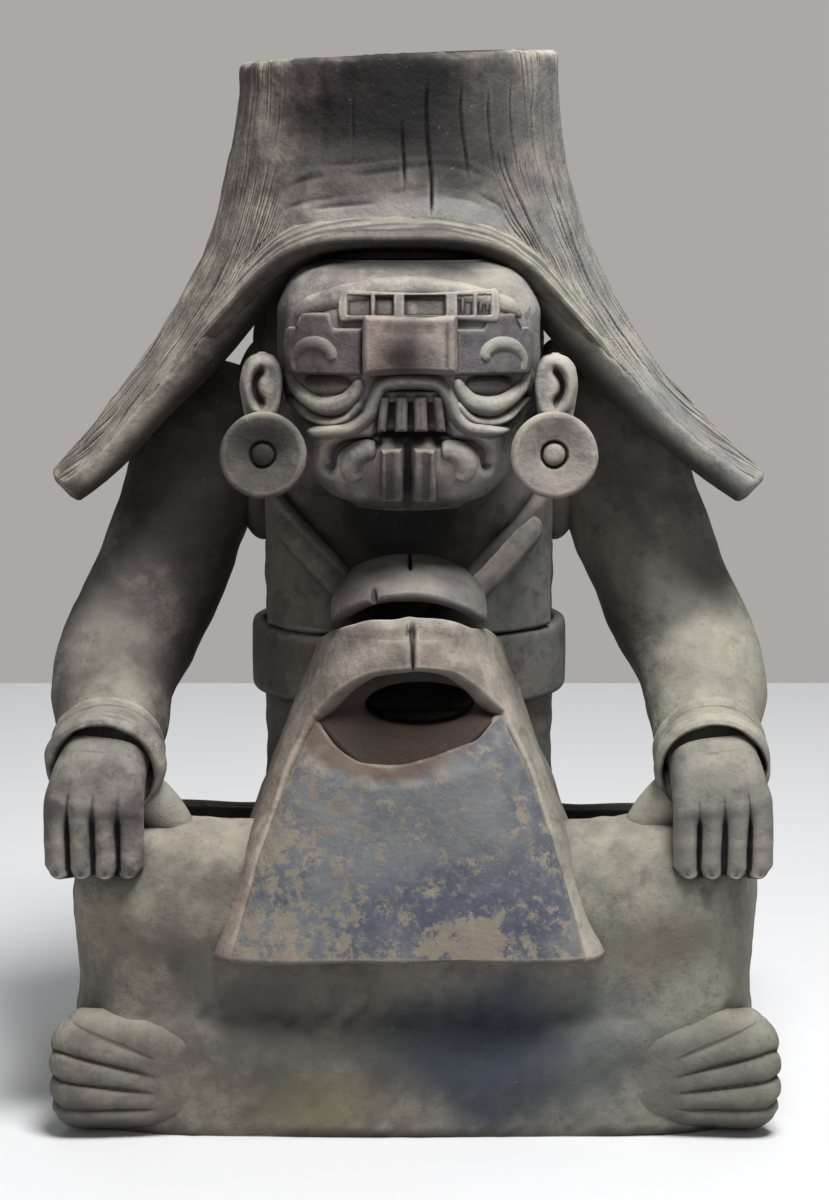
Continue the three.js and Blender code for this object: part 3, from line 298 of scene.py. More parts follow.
def grid_faces(rows, columns, start):
    """Quads between neighbouring rows and columns. The last column meets the first."""
    i, j = np.meshgrid(np.arange(rows - 1), np.arange(columns), indexing="ij")
    here, right = i * columns + j, i * columns + (j + 1) % columns
    return np.stack([here, right, right + columns, here + columns], -1).reshape(-1, 4) + start


def closed_ends(grid):
    """A tube's grid with its two end rings drawn in to their middles, so that the tube closes."""
    rings = grid[:1], grid[-1:]
    first, last = (np.broadcast_to(ring.mean(axis=1, keepdims=True), ring.shape) for ring in rings)
    return concatenate([first, mix(rings[0], first, 0.5), grid, mix(rings[1], last, 0.5), last])


def placed(name, data):
    """A new object of the scene."""
    item = bpy.data.objects.new(name, data)
    bpy.context.collection.objects.link(item)
    return item


def tube(*skins):
    """A closed tube from skins that lie beside each other round it."""
    return closed_ends(concatenate(skins, axis=1))


def clay_piece(name, grids, replaced, finish, marks=None):
    """One closed mesh from grids, each of which closes on itself. Its "relief" attribute is the mean bend of
    the edges at each vertex, above 0 on ridges and below 0 in hollows. Each mark is an attribute from 0 to 1
    over the first grid, such as the groove shade: how much painted shade a vertex takes in a groove, a sunk
    cell or an underside."""
    points = np.vstack([grid.reshape(-1, 3) for grid in grids])
    starts = np.cumsum([0] + [grid[..., 0].size for grid in grids])
    faces = [grid_faces(*grid.shape[:2], start) for grid, start in zip(grids, starts)]
    mesh = bpy.data.meshes.new(name)
    mesh.from_pydata((points * MM).tolist(), [], np.vstack(faces).tolist())
    for mark, share in (marks or {}).items():
        values = np.zeros(len(points), np.float32)
        values[: share.size] = share.ravel()
        mesh.attributes.new(mark, "FLOAT", "POINT").data.foreach_set("value", values)
    shape = bmesh.new()
    shape.from_mesh(mesh)
    bmesh.ops.remove_doubles(shape, verts=shape.verts, dist=0.00002)
    bmesh.ops.dissolve_degenerate(shape, edges=shape.edges, dist=0.00001)
    bmesh.ops.recalc_face_normals(shape, faces=shape.faces)
    shape.to_mesh(mesh)
    shape.free()
    mesh.shade_smooth()
    mark_relief(mesh)
    mesh.materials.append(paint[finish])
    piece = placed(name, mesh)
    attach(piece, "root")
    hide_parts(replaced)


def clay_pair(name, shapes, replaced, finish, marks=None):
    """The same piece on both sides. Each shape is a grid for the right, how uneven it is, and the seed."""
    for side, way in SIDES:
        grids = [handmade(grid * [way, 1, 1], size, seed) for grid, size, seed in shapes]
        clay_piece(f"{side}_{name}", grids, f"{side}_{replaced}", finish, marks)


def mark_relief(mesh):
    """Each edge's bend is (the change of place) . (the change of normal) / length^2. A vertex takes the mean
    over its edges, which is then smoothed over its neighbours twice."""

    def read(items, name, kind, width):
        values = np.empty(width * len(items), kind)
        items.foreach_get(name, values)
        return values.reshape(-1, width)

    count = len(mesh.vertices)
    first, second = read(mesh.edges, "vertices", np.int32, 2).T
    places = read(mesh.vertices, "co", np.float32, 3)
    normals = read(mesh.vertex_normals, "vector", np.float32, 3)
    step, turn = places[second] - places[first], normals[second] - normals[first]
    bend = (step * turn).sum(1) / maximum((step * step).sum(1), 1e-12)
    both, across = concatenate([first, second]), concatenate([second, first])
    degree = maximum(np.bincount(both, minlength=count), 1)
    relief = np.tanh(np.bincount(both, np.tile(bend, 2), count) / degree * MM * 5)
    for _ in range(2):
        relief = 0.4 * relief + 0.6 * np.bincount(both, relief[across], count) / degree
    mesh.attributes.new("relief", "FLOAT", "POINT").data.foreach_set("value", relief.astype(np.float32))


def slab(point, rows, columns, front, back, rounding=2.5, swell=None):
    """A slab bent to point(u, v): its front skin stands `front` outside that surface and its back skin `back`
    inside. Both fall to its middle line towards every edge, as a quarter circle of the given rounding."""
    u, v = np.broadcast_arrays(crowded(rows)[:, None], crowded(columns)[None, :])
    middle = point(u, v)
    normal = skin_normals(middle)
    edge = edge_distance(middle)
    fall = bow(1 - clip(edge / rounding, 0, 1))
    core, half = (front - back) / 2, (front + back) / 2
    raised = half + (swell(u, v, edge) if swell else 0)
    inside = pushed(middle, normal, core - half * fall)
    return concatenate([pushed(middle, normal, core + raised * fall), inside[:, -2:0:-1]], axis=1)


def strip(face, path, width, height, stations=100, taper=0.6, around=18, sunk=2.5):
    """A strip smeared on a surface whose reach in front of the axis is face(x, z). Its section is height *
    (1 - |w|^2.6)^1.3 between w = -1 and 1, on a skirt that sinks in, and its ends taper."""
    t = (1 - cos(pi * linspace(0, 1, stations))) / 2
    x, z = route(path, t).T
    line = stack(x, -face(x, z), z)
    out = surface_normal(face, x, z)
    aside = unit(np.cross(unit(np.gradient(line, axis=0)), out))
    near_end = minimum(minimum(t, 1 - t) / 0.07, 1)
    size = (mix(taper, 1, sin(pi * t) ** 0.5) * mix(0.2, 1, bow(1 - near_end)))[:, None]
    w = linspace(-1, 1, around)
    lift = height * (1 - abs(w) ** 2.6) ** 1.3 - 0.5
    sides = pushed(line[:, None], aside[:, None], w * width * 0.62 * size)
    skirt = sides[:, [-1, 0]] - out[:, None] * sunk
    return tube(pushed(sides, out[:, None], lift * size), skirt)


def mound(face, place, half_size, height):
    """A pad on a surface, drawn in polar rings: its outline is a superellipse, its top falls off at the rim
    as (1 - r^2.4)^0.6, and a skirt sinks into the surface."""
    power = 2.2
    c, s = cos(circle(80)), sin(circle(80))
    r = sin(linspace(0, pi / 2, 24))[:, None]
    reach = (abs(c) ** power + abs(s) ** power) ** (-1 / power)
    x = place[0] + half_size[0] * r * reach * c
    z = place[1] + half_size[1] * r * reach * s
    out = surface_normal(face, x, z)
    top = pushed(stack(x, -face(x, z), z), out, height * (1 - r**2.4) ** 0.6 + 0 * x)
    skirt = top[-1:] - out[-1:] * 4
    return concatenate([top, skirt, np.broadcast_to(skirt.mean(axis=1, keepdims=True), skirt.shape)])


def block(face, place, half_size, height, rounding, rows, columns, shape=None, lean=0.0):
    """A pad on a surface whose plan is a rectangle, with rounded edges and a foot that sinks in. Its plan's
    sides may lean outwards, and shape(x, z) adds its own relief."""

    def at(u, v):
        return place[0] + half_size[0] * (2 * u - 1), place[1] + half_size[1] * (2 * v - 1)

    def ground(u, v):
        x, z = at(u, v)
        x = x + lean * (1 - v)
        pinch = 1 - 0.06 * abs(2 * v - 1) ** 8
        return stack(place[0] + (x - place[0]) * pinch, -face(x, z), z)

    def swell(u, v, edge):
        return shape(*at(u, v)) * ease(edge, 0, rounding)

    return slab(ground, rows, columns, height, 3, rounding, swell if shape else None)


def turned(profile, around, lean=None, steps=None):
    """A body turned about the vertical axis from a closed [radius, height] profile."""
    outline = np.array(profile + profile[:1], float)
    if steps:
        outline = resampled(outline, lambda whole: linspace(0, whole, steps))
    angle, r, z = circle(around), outline[:, :1], outline[:, 1:]
    shift = lean(z) if lean else 0
    return stack(r * sin(angle) + shift, -r * cos(angle), z + 0 * angle)


# Shader nodes

class Wire:
    """An output socket of a material. Sums, differences and products of wires and numbers add Math nodes."""

    def __init__(self, tree, socket):
        self.tree = tree
        self.socket = socket

    def maths(self, operation, other):
        return node(self.tree, "Math", {0: self, 1: other}, operation=operation)

    def __add__(self, other):
        return self.maths("ADD", other)

    def __sub__(self, other):
        return self.maths("SUBTRACT", other)

    def __mul__(self, other):
        return self.maths("MULTIPLY", other)


def node(tree, kind, sockets=None, output=0, **settings):
    """Adds a node: its settings, then the values or wires of its sockets. Returns one output, if any."""
    made = tree.nodes.new("ShaderNode" + kind)
    for key, value in settings.items():
        setattr(made, key, value)
    for key, value in (sockets or {}).items():
        if isinstance(value, Wire):
            tree.links.new(value.socket, made.inputs[key])
        else:
            made.inputs[key].default_value = value
    return Wire(tree, made.outputs[output]) if made.outputs else None


def colour(red, green, blue):
    """A colour given as it shows on a screen, 0 to 255, turned linear."""
    share = np.array([red, green, blue]) / 255
    linear = where(share > 0.04045, ((share + 0.055) / 1.055) ** 2.4, share / 12.92)
    return (*linear.tolist(), 1.0)


class Clay:
    """The nodes that every clay material shares."""

    def __init__(self, name):
        self.material = bpy.data.materials.new(name)
        self.material.use_nodes = True
        self.tree = self.material.node_tree
        self.place = node(self.tree, "TexCoord", output="Object")
        self.x = node(self.tree, "SeparateXYZ", {0: self.place}, "X")
        self.z = node(self.tree, "SeparateXYZ", {0: self.place}, "Z")

    def noise(self, scale, detail=3.0, rough=0.55, shift=0.0):
        moved = node(self.tree, "Mapping", {"Vector": self.place, "Location": (shift, shift, shift)})
        values = {"Vector": moved, "Scale": scale, "Detail": detail, "Roughness": rough}
        return node(self.tree, "TexNoise", values)

    def smooth(self, value, low, high, start=0.0, end=1.0):
        values = {0: value, 1: low, 2: high, 3: start, 4: end}
        return node(self.tree, "MapRange", values, interpolation_type="SMOOTHSTEP")

    def blend(self, share, first, second):
        ends = [end if isinstance(end, Wire) else colour(*end) for end in (first, second)]
        return node(self.tree, "Mix", {0: share, 6: ends[0], 7: ends[1]}, 2, data_type="RGBA")

    def attribute(self, name):
        return node(self.tree, "Attribute", output="Fac", attribute_name=name)

    def patch(self, middle, reach, ragged=0.5):
        """A blot of colour, used for fire marks and for painted shade and shadow: 1 at its middle, fading at
        its ragged rim.
        """
        vector = self.place
        for operation, size in (("SUBTRACT", middle), ("DIVIDE", reach)):
            values = {0: vector, 1: [number * MM for number in size]}
            vector = node(self.tree, "VectorMath", values, operation=operation)
        length = node(self.tree, "VectorMath", {0: vector}, "Value", operation="LENGTH")
        return self.smooth(length + (self.noise(28, 4) - 0.5) * ragged * 2, 1.15, 0.35)

    def finish(self, base, roughness, bump):
        inputs = self.tree.nodes["Principled BSDF"].inputs
        for name, wire in (("Base Color", base), ("Roughness", roughness), ("Normal", bump)):
            self.tree.links.new(wire.socket, inputs[name])
        inputs["Specular IOR Level"].default_value = 0.35
        return self.material


def clay_material(name, left, right, dark, light, blots=(), clouds=0.6, dust=0.35, crease_shade=1.0, slip=None):
    """Fired clay: a left and a right tone, the left partly darkened as painted shade, fire clouds, blots of
    tone and of painted shade, dust on what faces up, painted shade on what faces down, rubbed ridges, painted
    shade in hollows, crevices and grooves, and fine grit."""
    clay = Clay(name)
    # The left tone is partly painted shade: where it is much darker than the right, the figure's left side is
    # darkened as lying away from the key lamp. It is also the clay's own change of colour.
    base = clay.blend(clay.smooth(clay.x + (clay.noise(9) - 0.5) * 0.12, -0.05, 0.10), left, right)
    mottle = clay.noise(42, 6, 0.7)
    base = clay.blend(clay.smooth(mottle, 0.42, 0.66) * 0.55, base, light)
    base = clay.blend(clay.smooth(clay.noise(95, 5, 0.7, shift=3.1), 0.50, 0.68) * 0.50, base, dark)
    cloud = clay.smooth(clay.noise(10, 5, 0.65, shift=7.0), 0.47, 0.62)
    base = clay.blend(cloud * clouds, base, dark)
    if slip:
        base = slip(clay, base)
    relief = clay.attribute("relief")
    ridge = clay.smooth(relief, 0.05, 0.40) * clay.smooth(mottle, 0.36, 0.60)
    base = clay.blend(ridge * 0.55, base, light)
    up = node(clay.tree, "SeparateXYZ", {0: node(clay.tree, "NewGeometry", output="Normal")}, "Z")
    dusty = clay.smooth(up, 0.20, 0.95) * clay.smooth(clay.noise(24, 5, 0.6, shift=1.7), 0.32, 0.62)
    base = clay.blend(dusty * dust, base, (196, 188, 172))
    for middle, reach, tone, share in blots:
        base = clay.blend(clay.patch(middle, reach) * share, base, tone)
    # Painted shade on everything that faces down.
    base = clay.blend(clay.smooth(up, -0.05, -0.75) * 0.65, base, (40, 38, 34))
    # Painted shade: hollows of the mesh, and crevices found by ambient occlusion, are darkened.
    occlusion = node(clay.tree, "AmbientOcclusion", {"Distance": 0.010}, "AO", samples=5)
    hollow, occluded_shade = clay.smooth(relief, -0.04, -0.38), clay.smooth(occlusion, 0.86, 0.25)
    base = clay.blend(hollow * (0.5 * crease_shade) + occluded_shade * (0.6 * crease_shade), base, (34, 30, 29))
    # Painted shade in grooves, sunk cells and the inside of the headdress.
    base = clay.blend(clay.smooth(clay.attribute("groove_shade"), 0.12, 0.75) * 0.85, base, (26, 23, 22))
    pores = clay.noise(520, 3, 0.7)
    base = clay.blend(clay.smooth(pores, 0.62, 0.74) * 0.45, base, dark)
    grit = clay.smooth(clay.noise(330, 2, 0.6, shift=5.0), 0.68, 0.76)
    base = clay.blend(grit * 0.14, base, light)
    roughness = clay.smooth(mottle, 0.25, 0.75, 0.70, 0.92) + dusty * 0.06
    fine = clay.noise(240, 4, 0.65) * 0.5 + clay.noise(800, 2, 0.5) * 0.15
    height = clay.noise(60, 5, 0.6) * 1.6 + fine + clay.smooth(pores, 0.60, 0.72) * -0.35
    bump = node(clay.tree, "Bump", {"Strength": 0.55, "Distance": 0.0014, "Height": height})
    return clay.finish(base, roughness, bump)


def flaking_slip(clay, base):
    """A blue-grey slip that has flaked off in ragged specks and islands: most of all at the left edge and low
    down, and in one patch at the lower right. Its top edge, marked "inner", takes the mouth's brown."""
    tone = clay.blend(clay.smooth(clay.noise(30, 5, 0.65), 0.38, 0.62), (84, 88, 98), (110, 113, 116))
    tone = clay.blend(clay.patch((-10, -130, 150), (64, 60, 26), 0.9) * 0.45, tone, (122, 123, 121))
    tone = clay.blend(clay.patch((26, -130, 112), (74, 60, 20), 0.8) * 0.75, tone, (68, 73, 89))
    low = clay.smooth(clay.z, 0.112, 0.090) * 0.05
    left = clay.smooth(clay.x, 0.010, -0.080) * 0.10
    right = clay.smooth(clay.x, 0.040, 0.075) * 0.03
    island = clay.patch((26, -130, 98), (26, 40, 13), 0.7) * 0.15
    top = clay.smooth(clay.z, 0.165, 0.195) * clay.smooth(clay.x, 0.02, -0.04) * 0.10
    specks = clay.noise(210, 6, 0.75, shift=2.2)
    flakes = clay.noise(110, 8, 0.78) + (specks - 0.5) * 0.45 + low + left + right + island + top
    worn = clay.smooth(flakes + (specks - 0.5) * 0.6, 0.49, 0.62) * 0.55
    tone = clay.blend(clay.smooth(flakes, 0.575, 0.615), clay.blend(worn, tone, (124, 120, 113)), base)
    browned = clay.smooth(clay.attribute("inner") + (clay.noise(70, 5, 0.7) - 0.5) * 0.5, 0.35, 0.85)
    return clay.blend(browned * 0.9, tone, (82, 64, 54))


# Tones as a screen shows them, 0 to 255
BROWN = (139, 130, 120)
SOOT_AND_SHADE = (47, 42, 38)
PALE = (176, 168, 154)
SMOKE = (82, 78, 74)

# Of each blot: its middle and its reach in millimetres, its tone and its share
CROWN_BLOTS = [
    ((-10, -76, 474), (74, 60, 50), (18, 16, 17), 0.97),
    ((12, -80, 462), (40, 40, 34), (16, 14, 15), 0.7),
    ((52, -60, 450), (34, 50, 44), SMOKE, 0.45),
    ((22, -80, 446), (30, 50, 18), (44, 41, 42), 0.5),
    ((0, -94, 420), (70, 50, 13), (142, 139, 137), 0.75),
    ((-44, -60, 505), (80, 70, 18), SOOT_AND_SHADE, 0.6),
    ((-30, -84, 440), (44, 50, 18), SMOKE, 0.5),
]
SEAT_TONES_AND_SHADOWS = [
    # Painted shadow of the apron on the legs, laid in the clay's dark olive and blue-grey tones.
    ((-48, -122, 56), (92, 50, 38), (66, 67, 63), 0.62),
    ((66, -122, 42), (64, 50, 40), (72, 77, 82), 0.7),
    ((28, -122, 40), (50, 50, 44), (50, 57, 68), 0.9),
    ((-42, -122, 16), (34, 50, 18), (112, 104, 84), 0.7),
    # Painted shade on the legs behind the apron's hem, and on the back wall's inner face.
    ((0, -90, 96), (90, 60, 20), SOOT_AND_SHADE, 0.8),
    ((0, 84, 100), (170, 40, 60), SOOT_AND_SHADE, 0.95),
    # Painted shadow of the right hand on the knee.
    ((118, -122, 92), (34, 40, 22), (108, 101, 88), 0.6),
    ((-136, -126, 30), (44, 30, 36), (78, 76, 72), 0.45),
    ((140, -126, 30), (44, 30, 36), (72, 72, 67), 0.55),
]
VESSEL_SHADE_BLOTS = [
    # All painted shade: under the chin, on the vessel beside the head under the wings, in the mouth's hole
    # and behind the hood's top.
    ((0, -70, 285), (66, 60, 50), (20, 18, 17), 0.98),
    ((0, -20, 360), (110, 110, 70), (20, 18, 17), 0.98),
    ((0, -72, 206), (50, 30, 34), (6, 6, 7), 1.0),
    ((0, -78, 240), (44, 20, 15), (8, 7, 8), 1.0),
]
ARCH_BLOTS = [
    ((90, -130, 128), (18, 30, 44), (178, 174, 156), 0.7),
    ((-90, -130, 120), (18, 30, 40), (150, 134, 120), 0.5),
]
LINING_SHADE_BLOTS = [
    # Painted shade: the hole of the mouth in black, and a dark band under the upper lip.
    ((4, -84, 203), (40, 20, 17), (5, 4, 6), 1.0),
    ((0, -108, 216), (60, 30, 9), (30, 27, 27), 0.85),
]
SLEEVE_SOOT_AND_SHADOWS = [
    # Painted shadow of the headdress's wings on the upper arms, together with soot.
    ((-104, -10, 300), (64, 80, 66), SOOT_AND_SHADE, 0.9),
    ((104, -10, 318), (60, 80, 50), SOOT_AND_SHADE, 0.6),
    ((-96, -20, 240), (28, 60, 60), SOOT_AND_SHADE, 0.9),
    ((98, -20, 240), (24, 60, 60), SOOT_AND_SHADE, 0.6),
    ((-140, -30, 206), (34, 60, 44), (78, 72, 68), 0.6),
]
HAND_BLOTS = [
    ((-110, -96, 148), (15, 24, 26), (150, 146, 135), 0.9),
    ((110, -96, 148), (15, 24, 26), (162, 158, 144), 0.7),
]
MASK_TONES_AND_SHADE = [
    # Painted shadow of the hem on the top of the forehead.
    ((0, -90, 404), (84, 44, 11), (30, 28, 30), 0.97),
    # Painted shade in the recess behind the teeth, in the groove between the tongue forks, and under the
    # chin.
    ((1.5, -104, 335), (18, 20, 13), (34, 31, 32), 0.85),
    ((-0.4, -104, 304), (3.2, 20, 22), (26, 23, 24), 0.9),
    ((0, -104, 290), (54, 30, 8), (34, 32, 34), 0.85),
    ((-60, -70, 330), (14, 40, 60), (52, 46, 44), 0.6),
    ((-44, -105, 361), (16, 20, 12), (84, 75, 75), 0.75),
    ((46, -105, 363), (14, 20, 10), (112, 110, 110), 0.45),
    # Painted shadow of the brow plates along the eyes, and painted shade in the mouth's slot.
    ((-37, -100, 349), (17, 20, 6), (40, 35, 35), 0.85),
    ((37, -100, 349), (17, 20, 6), (46, 42, 42), 0.8),
    ((1.5, -100, 322), (18, 20, 5), (12, 11, 12), 0.95),
]
PLATE_SHADE_BLOTS = [
    # Painted shade: the brow plates' shadow along the eyes, and the mouth's slot.
    ((-37, -100, 349), (17, 20, 6), (38, 32, 32), 0.85),
    ((37, -100, 349), (17, 20, 6), (44, 38, 38), 0.85),
    ((1.5, -104, 322), (18, 20, 5), (14, 12, 13), 0.9),
]
SPOOL_BLOTS = [
    ((-66, -100, 312), (30, 24, 30), (70, 66, 61), 0.8),
    ((-66, -100, 324), (24, 20, 13), (52, 49, 47), 0.85),
    ((-66, -106, 315), (9, 14, 9), (44, 40, 32), 0.95),
    ((71, -100, 331), (9, 9, 6), SMOKE, 0.8),
]
CAP_BLOTS = [((-26, -110, 250), (24, 40, 18), (66, 55, 54), 0.6)]
# Painted shade in the middle of the snout.
NOSE_SHADE_BLOTS = [((0, -112, 362), (16, 24, 16), (42, 34, 35), 0.95)]

# Of each finish: its material's name, left, right, dark and light tone, blots, strengths of clouds, dust and
# painted crease shade, and slip
# Where a left tone is much darker than its right, as for the sleeves, hands, cuffs, mask and spools, it is
# partly painted shade.
FINISHES = {
    "straw": ("smoked_straw_clay", (110, 100, 94), (130, 131, 127), SMOKE, PALE, CROWN_BLOTS, 0.45),
    "hem": (
        "hem_clay", (130, 121, 114), (148, 148, 136), SMOKE, PALE,
        # Painted shade along the hem's lower edge.
        [((-4, -110, 412), (66, 50, 16), (92, 88, 87), 0.55)], 0.3,
    ),
    "seat": ("seat_clay", (112, 107, 95), (120, 120, 108), SMOKE, (156, 149, 135), SEAT_TONES_AND_SHADOWS),
    "vessel": ("vessel_clay", (104, 99, 90), (126, 128, 124), SOOT_AND_SHADE, BROWN, VESSEL_SHADE_BLOTS, 0.4, 0.2),
    "apron": (
        "flaking_slip_clay", (128, 119, 106), (134, 125, 111), BROWN, (148, 139, 125), (), 0.2, 0.1, 0.25,
        flaking_slip,
    ),
    "arch": ("arch_clay", (134, 122, 112), (142, 139, 130), SMOKE, (176, 165, 152), ARCH_BLOTS, 0.25),
    "lining": ("lining_clay", (54, 40, 33), (47, 37, 31), SOOT_AND_SHADE, (68, 52, 43), LINING_SHADE_BLOTS, 0.6, 0.0, 0.25),
    "cap": ("cap_clay", (84, 80, 80), (92, 94, 95), SMOKE, (112, 110, 108), CAP_BLOTS),
    "collar": ("collar_clay", (118, 112, 110), (130, 131, 128), SMOKE, PALE),
    "arm": ("sleeve_clay", (92, 86, 82), (142, 142, 128), SMOKE, (160, 153, 140), SLEEVE_SOOT_AND_SHADOWS),
    "hand": ("hand_clay", (92, 87, 84), (130, 129, 119), SMOKE, (150, 145, 135), HAND_BLOTS, 0.2),
    "cuff": ("cuff_clay", (98, 94, 90), (148, 146, 133), SMOKE, PALE, (), 0.3),
    "mask": ("mask_clay", (116, 109, 107), (156, 156, 152), (76, 68, 69), PALE, MASK_TONES_AND_SHADE, 0.35),
    "snout": ("snout_clay", (132, 112, 102), (130, 128, 126), (66, 54, 50), (150, 142, 134), NOSE_SHADE_BLOTS, 0.3),
    "plate": ("dark_mask_clay", (90, 78, 80), (98, 100, 102), (56, 48, 50), BROWN, PLATE_SHADE_BLOTS, 0.5),
    "spool": ("spool_clay", (92, 86, 81), (150, 142, 134), SMOKE, PALE, SPOOL_BLOTS, 0.3),
}
paint = {key: clay_material(*finish) for key, finish in FINISHES.items()}


# Seat

# Share of the lap's height, then the inset at the front and at the sides
LEG_PROFILE = [
    (0, 2, 4), (0.05, 0, 2), (0.19, 0, 1), (0.33, 4, 2), (0.42, 8, 3),
    (0.7, 5, 0), (0.84, 9, 3), (0.94, 19, 11), (1, 38, 28), (0.985, 45, 35),
]
# The inset, then the share of the wall's height
BACK_WALL_SECTION = [
    (3, 0), (3, 0.5), (3, 0.94), (4.2, 0.98), (7, 1), (11, 1), (13.8, 0.98), (15, 0.94), (15, 0.5), (15, 0),
]


def seat_point(angle, inset, height):
    """A point on the seat: a superellipse drawn in by the inset, at the given height."""
    half_width = SEAT_HALF_WIDTH - inset
    half_depth = SEAT_HALF_DEPTH - inset
    s, c = sin(angle), cos(angle)
    power = SEAT_POWER
    reach = ((abs(s) / half_width) ** power + (abs(c) / half_depth) ** power) ** (-1 / power)
    return stack(SEAT_OFFSET + reach * s, SEAT_MIDDLE - reach * c, height)


def leg_line(angle, share):
    """The leg wall's inset and height at each angle, for shares of the way from the base to the inner lip."""
    knots = np.array(LEG_PROFILE, float)
    place = linspace(0, 1, len(knots))
    rise, front, flank = (graded(share, list(zip(place, knots[:, k]))) for k in range(3))
    side = where(abs(angle) < pi / 2, sin(angle) ** 2, 1)
    behind = ease(abs(angle), np.radians(75), np.radians(130))
    inset = mix(front, flank, side) * mix(1, 0.35, behind)
    return inset, rise * LAP_HEIGHT * mix(1, BACK_WALL_HEIGHT / LAP_HEIGHT, behind)


def leg_relief(x, z):
    """How far the legs stand out in front: each shin is a roll from its foot towards the middle, and the
    hollow between the knees and the shins lies under the apron."""
    right = 5.0 * hump(z, 52 - 0.28 * (118 - clip(x, 10, 150)), 13) * ease(x, -10, 70) * ease(x, 165, 128)
    left = 3.5 * hump(z, 48 - 0.16 * (118 + clip(x, -150, -10)), 14) * ease(-x, 0, 70) * ease(-x, 165, 128)
    knees = 2.5 * (hump(x, 112, 34) + hump(x, -108, 34)) * hump(z, 116, 24)
    dip = -2.5 * (hump(x, 78, 16) + hump(x, -74, 16)) * hump(z, 128, 26)
    return right + left - 3.5 * spot(x, z, (26, 54), (58, 24)) + knees + dip


def make_seat():
    """The leg wall: the outer skin with its relief, rolled over the lap, and the inner skin a wall inside."""
    half_sweep = np.radians(LEG_SWEEP)
    angle = linspace(-half_sweep, half_sweep, 520)[:, None]
    share, back = linspace(0, 1, 96)[None, :], linspace(1, 0, 34)[None, :]
    outer = seat_point(angle, *leg_line(angle, share))
    normal = skin_normals(outer)
    normal *= -sign(normal[260, 40, 1])
    front = ease(-outer[..., 1], 60, 105) * ease(share, 0.0, 0.12) * ease(share, 1.0, 0.86)
    outer = pushed(outer, normal, leg_relief(outer[..., 0], outer[..., 2]) * front)
    ragged = 0.9 * ripple(outer, 42, 4) + 0.35 * ripple(outer, 12, 5)
    outer = pushed(outer, normal, ragged * ease(share, -0.02, 0.1))
    inset, height = leg_line(angle, back)
    thick = mix(6, WALL, ease(1 - back, 0, 0.25))
    inner = seat_point(angle, inset + thick, maximum(height - thick * ease(back, 0.55, 1), 0))
    uneven = skin_normals(inner) * (0.8 * ripple(inner, 40, 6))[..., None]
    ring = concatenate([outer, pushed(inner, uneven, ease(back, 0, 0.2))], axis=1)
    ring[..., 1] = minimum(ring[..., 1], BACK_WALL_JOINT)
    ring[..., 2] = maximum(ring[..., 2], 0)
    clay_piece("legs", [closed_ends(ring)], "crossed_legs", "seat")


def make_back_wall():
    """The low wall behind, a rounded slab whose top is the potter's uneven finger line."""
    start = np.radians(BACK_WALL_START)
    angle = linspace(start, 2 * pi - start, 300)[:, None]
    top = BACK_WALL_HEIGHT - 3 + 1.5 * sin(5 * angle) + 0.6 * sin(17 * angle + 1)
    place = linspace(0, 1, len(BACK_WALL_SECTION))
    share = linspace(0, 1, 64)[None, :]
    inset, rise = (np.interp(share, place, line) for line in np.array(BACK_WALL_SECTION, float).T)
    wrapped = where(angle > pi, angle - 2 * pi, angle)
    wall = seat_point(wrapped + 0 * inset, inset + 0 * angle, top * rise)
    wall = pushed(wall, skin_normals(wall), 0.8 * ripple(wall, 40, 9) * ease(rise, 0, 0.1))
    wall[..., 1] = maximum(wall[..., 1] - 1.3, BACK_WALL_JOINT + LUTE)
    wall[..., 2] = maximum(wall[..., 2], 0)
    clay_piece("back_wall", [closed_ends(wall)], "seat_back_wall", "seat")


# Vessel, tunic and sash

def lean_at(z):
    """How far the neck has moved to the left at a height."""
    return -LEAN * ease(z, BRIM_HEIGHT, BRIM_HEIGHT + LEAN_RISE)


def vessel_radius(z):
    """The vessel narrows where it goes into the crown."""
    middle = (NECK_BASE + NECK_HEIGHT) / 2
    return mix(VESSEL_R, NECK_R, graded(z, [(NECK_BASE, 0), (middle, 0.5), (NECK_HEIGHT, 1)]))


def make_vessel():
    """The tube, turned from its wall's outline, with faint finger rings."""
    heights = linspace(VESSEL_BASE, MOUTH_HEIGHT - 3, 150)
    rings = 0.35 * sin(heights / 5.5) + 0.25 * sin(heights / 2.3 + 1)
    outer = [(vessel_radius(z) + r, z) for z, r in zip(heights, rings)]
    inner = [(vessel_radius(z) - VESSEL_WALL + r, z) for z, r in zip(heights, rings)][::-1]
    lip = [(NECK_R - 0.9, MOUTH_HEIGHT - 0.9), (NECK_R - 3, MOUTH_HEIGHT), (NECK_R - 7, MOUTH_HEIGHT)]
    profile = outer + lip + [(NECK_R - VESSEL_WALL + 0.9, MOUTH_HEIGHT - 0.9)] + inner
    clay_piece("vessel", [turned(profile, 150, lean_at)], "vessel_tube", "vessel")


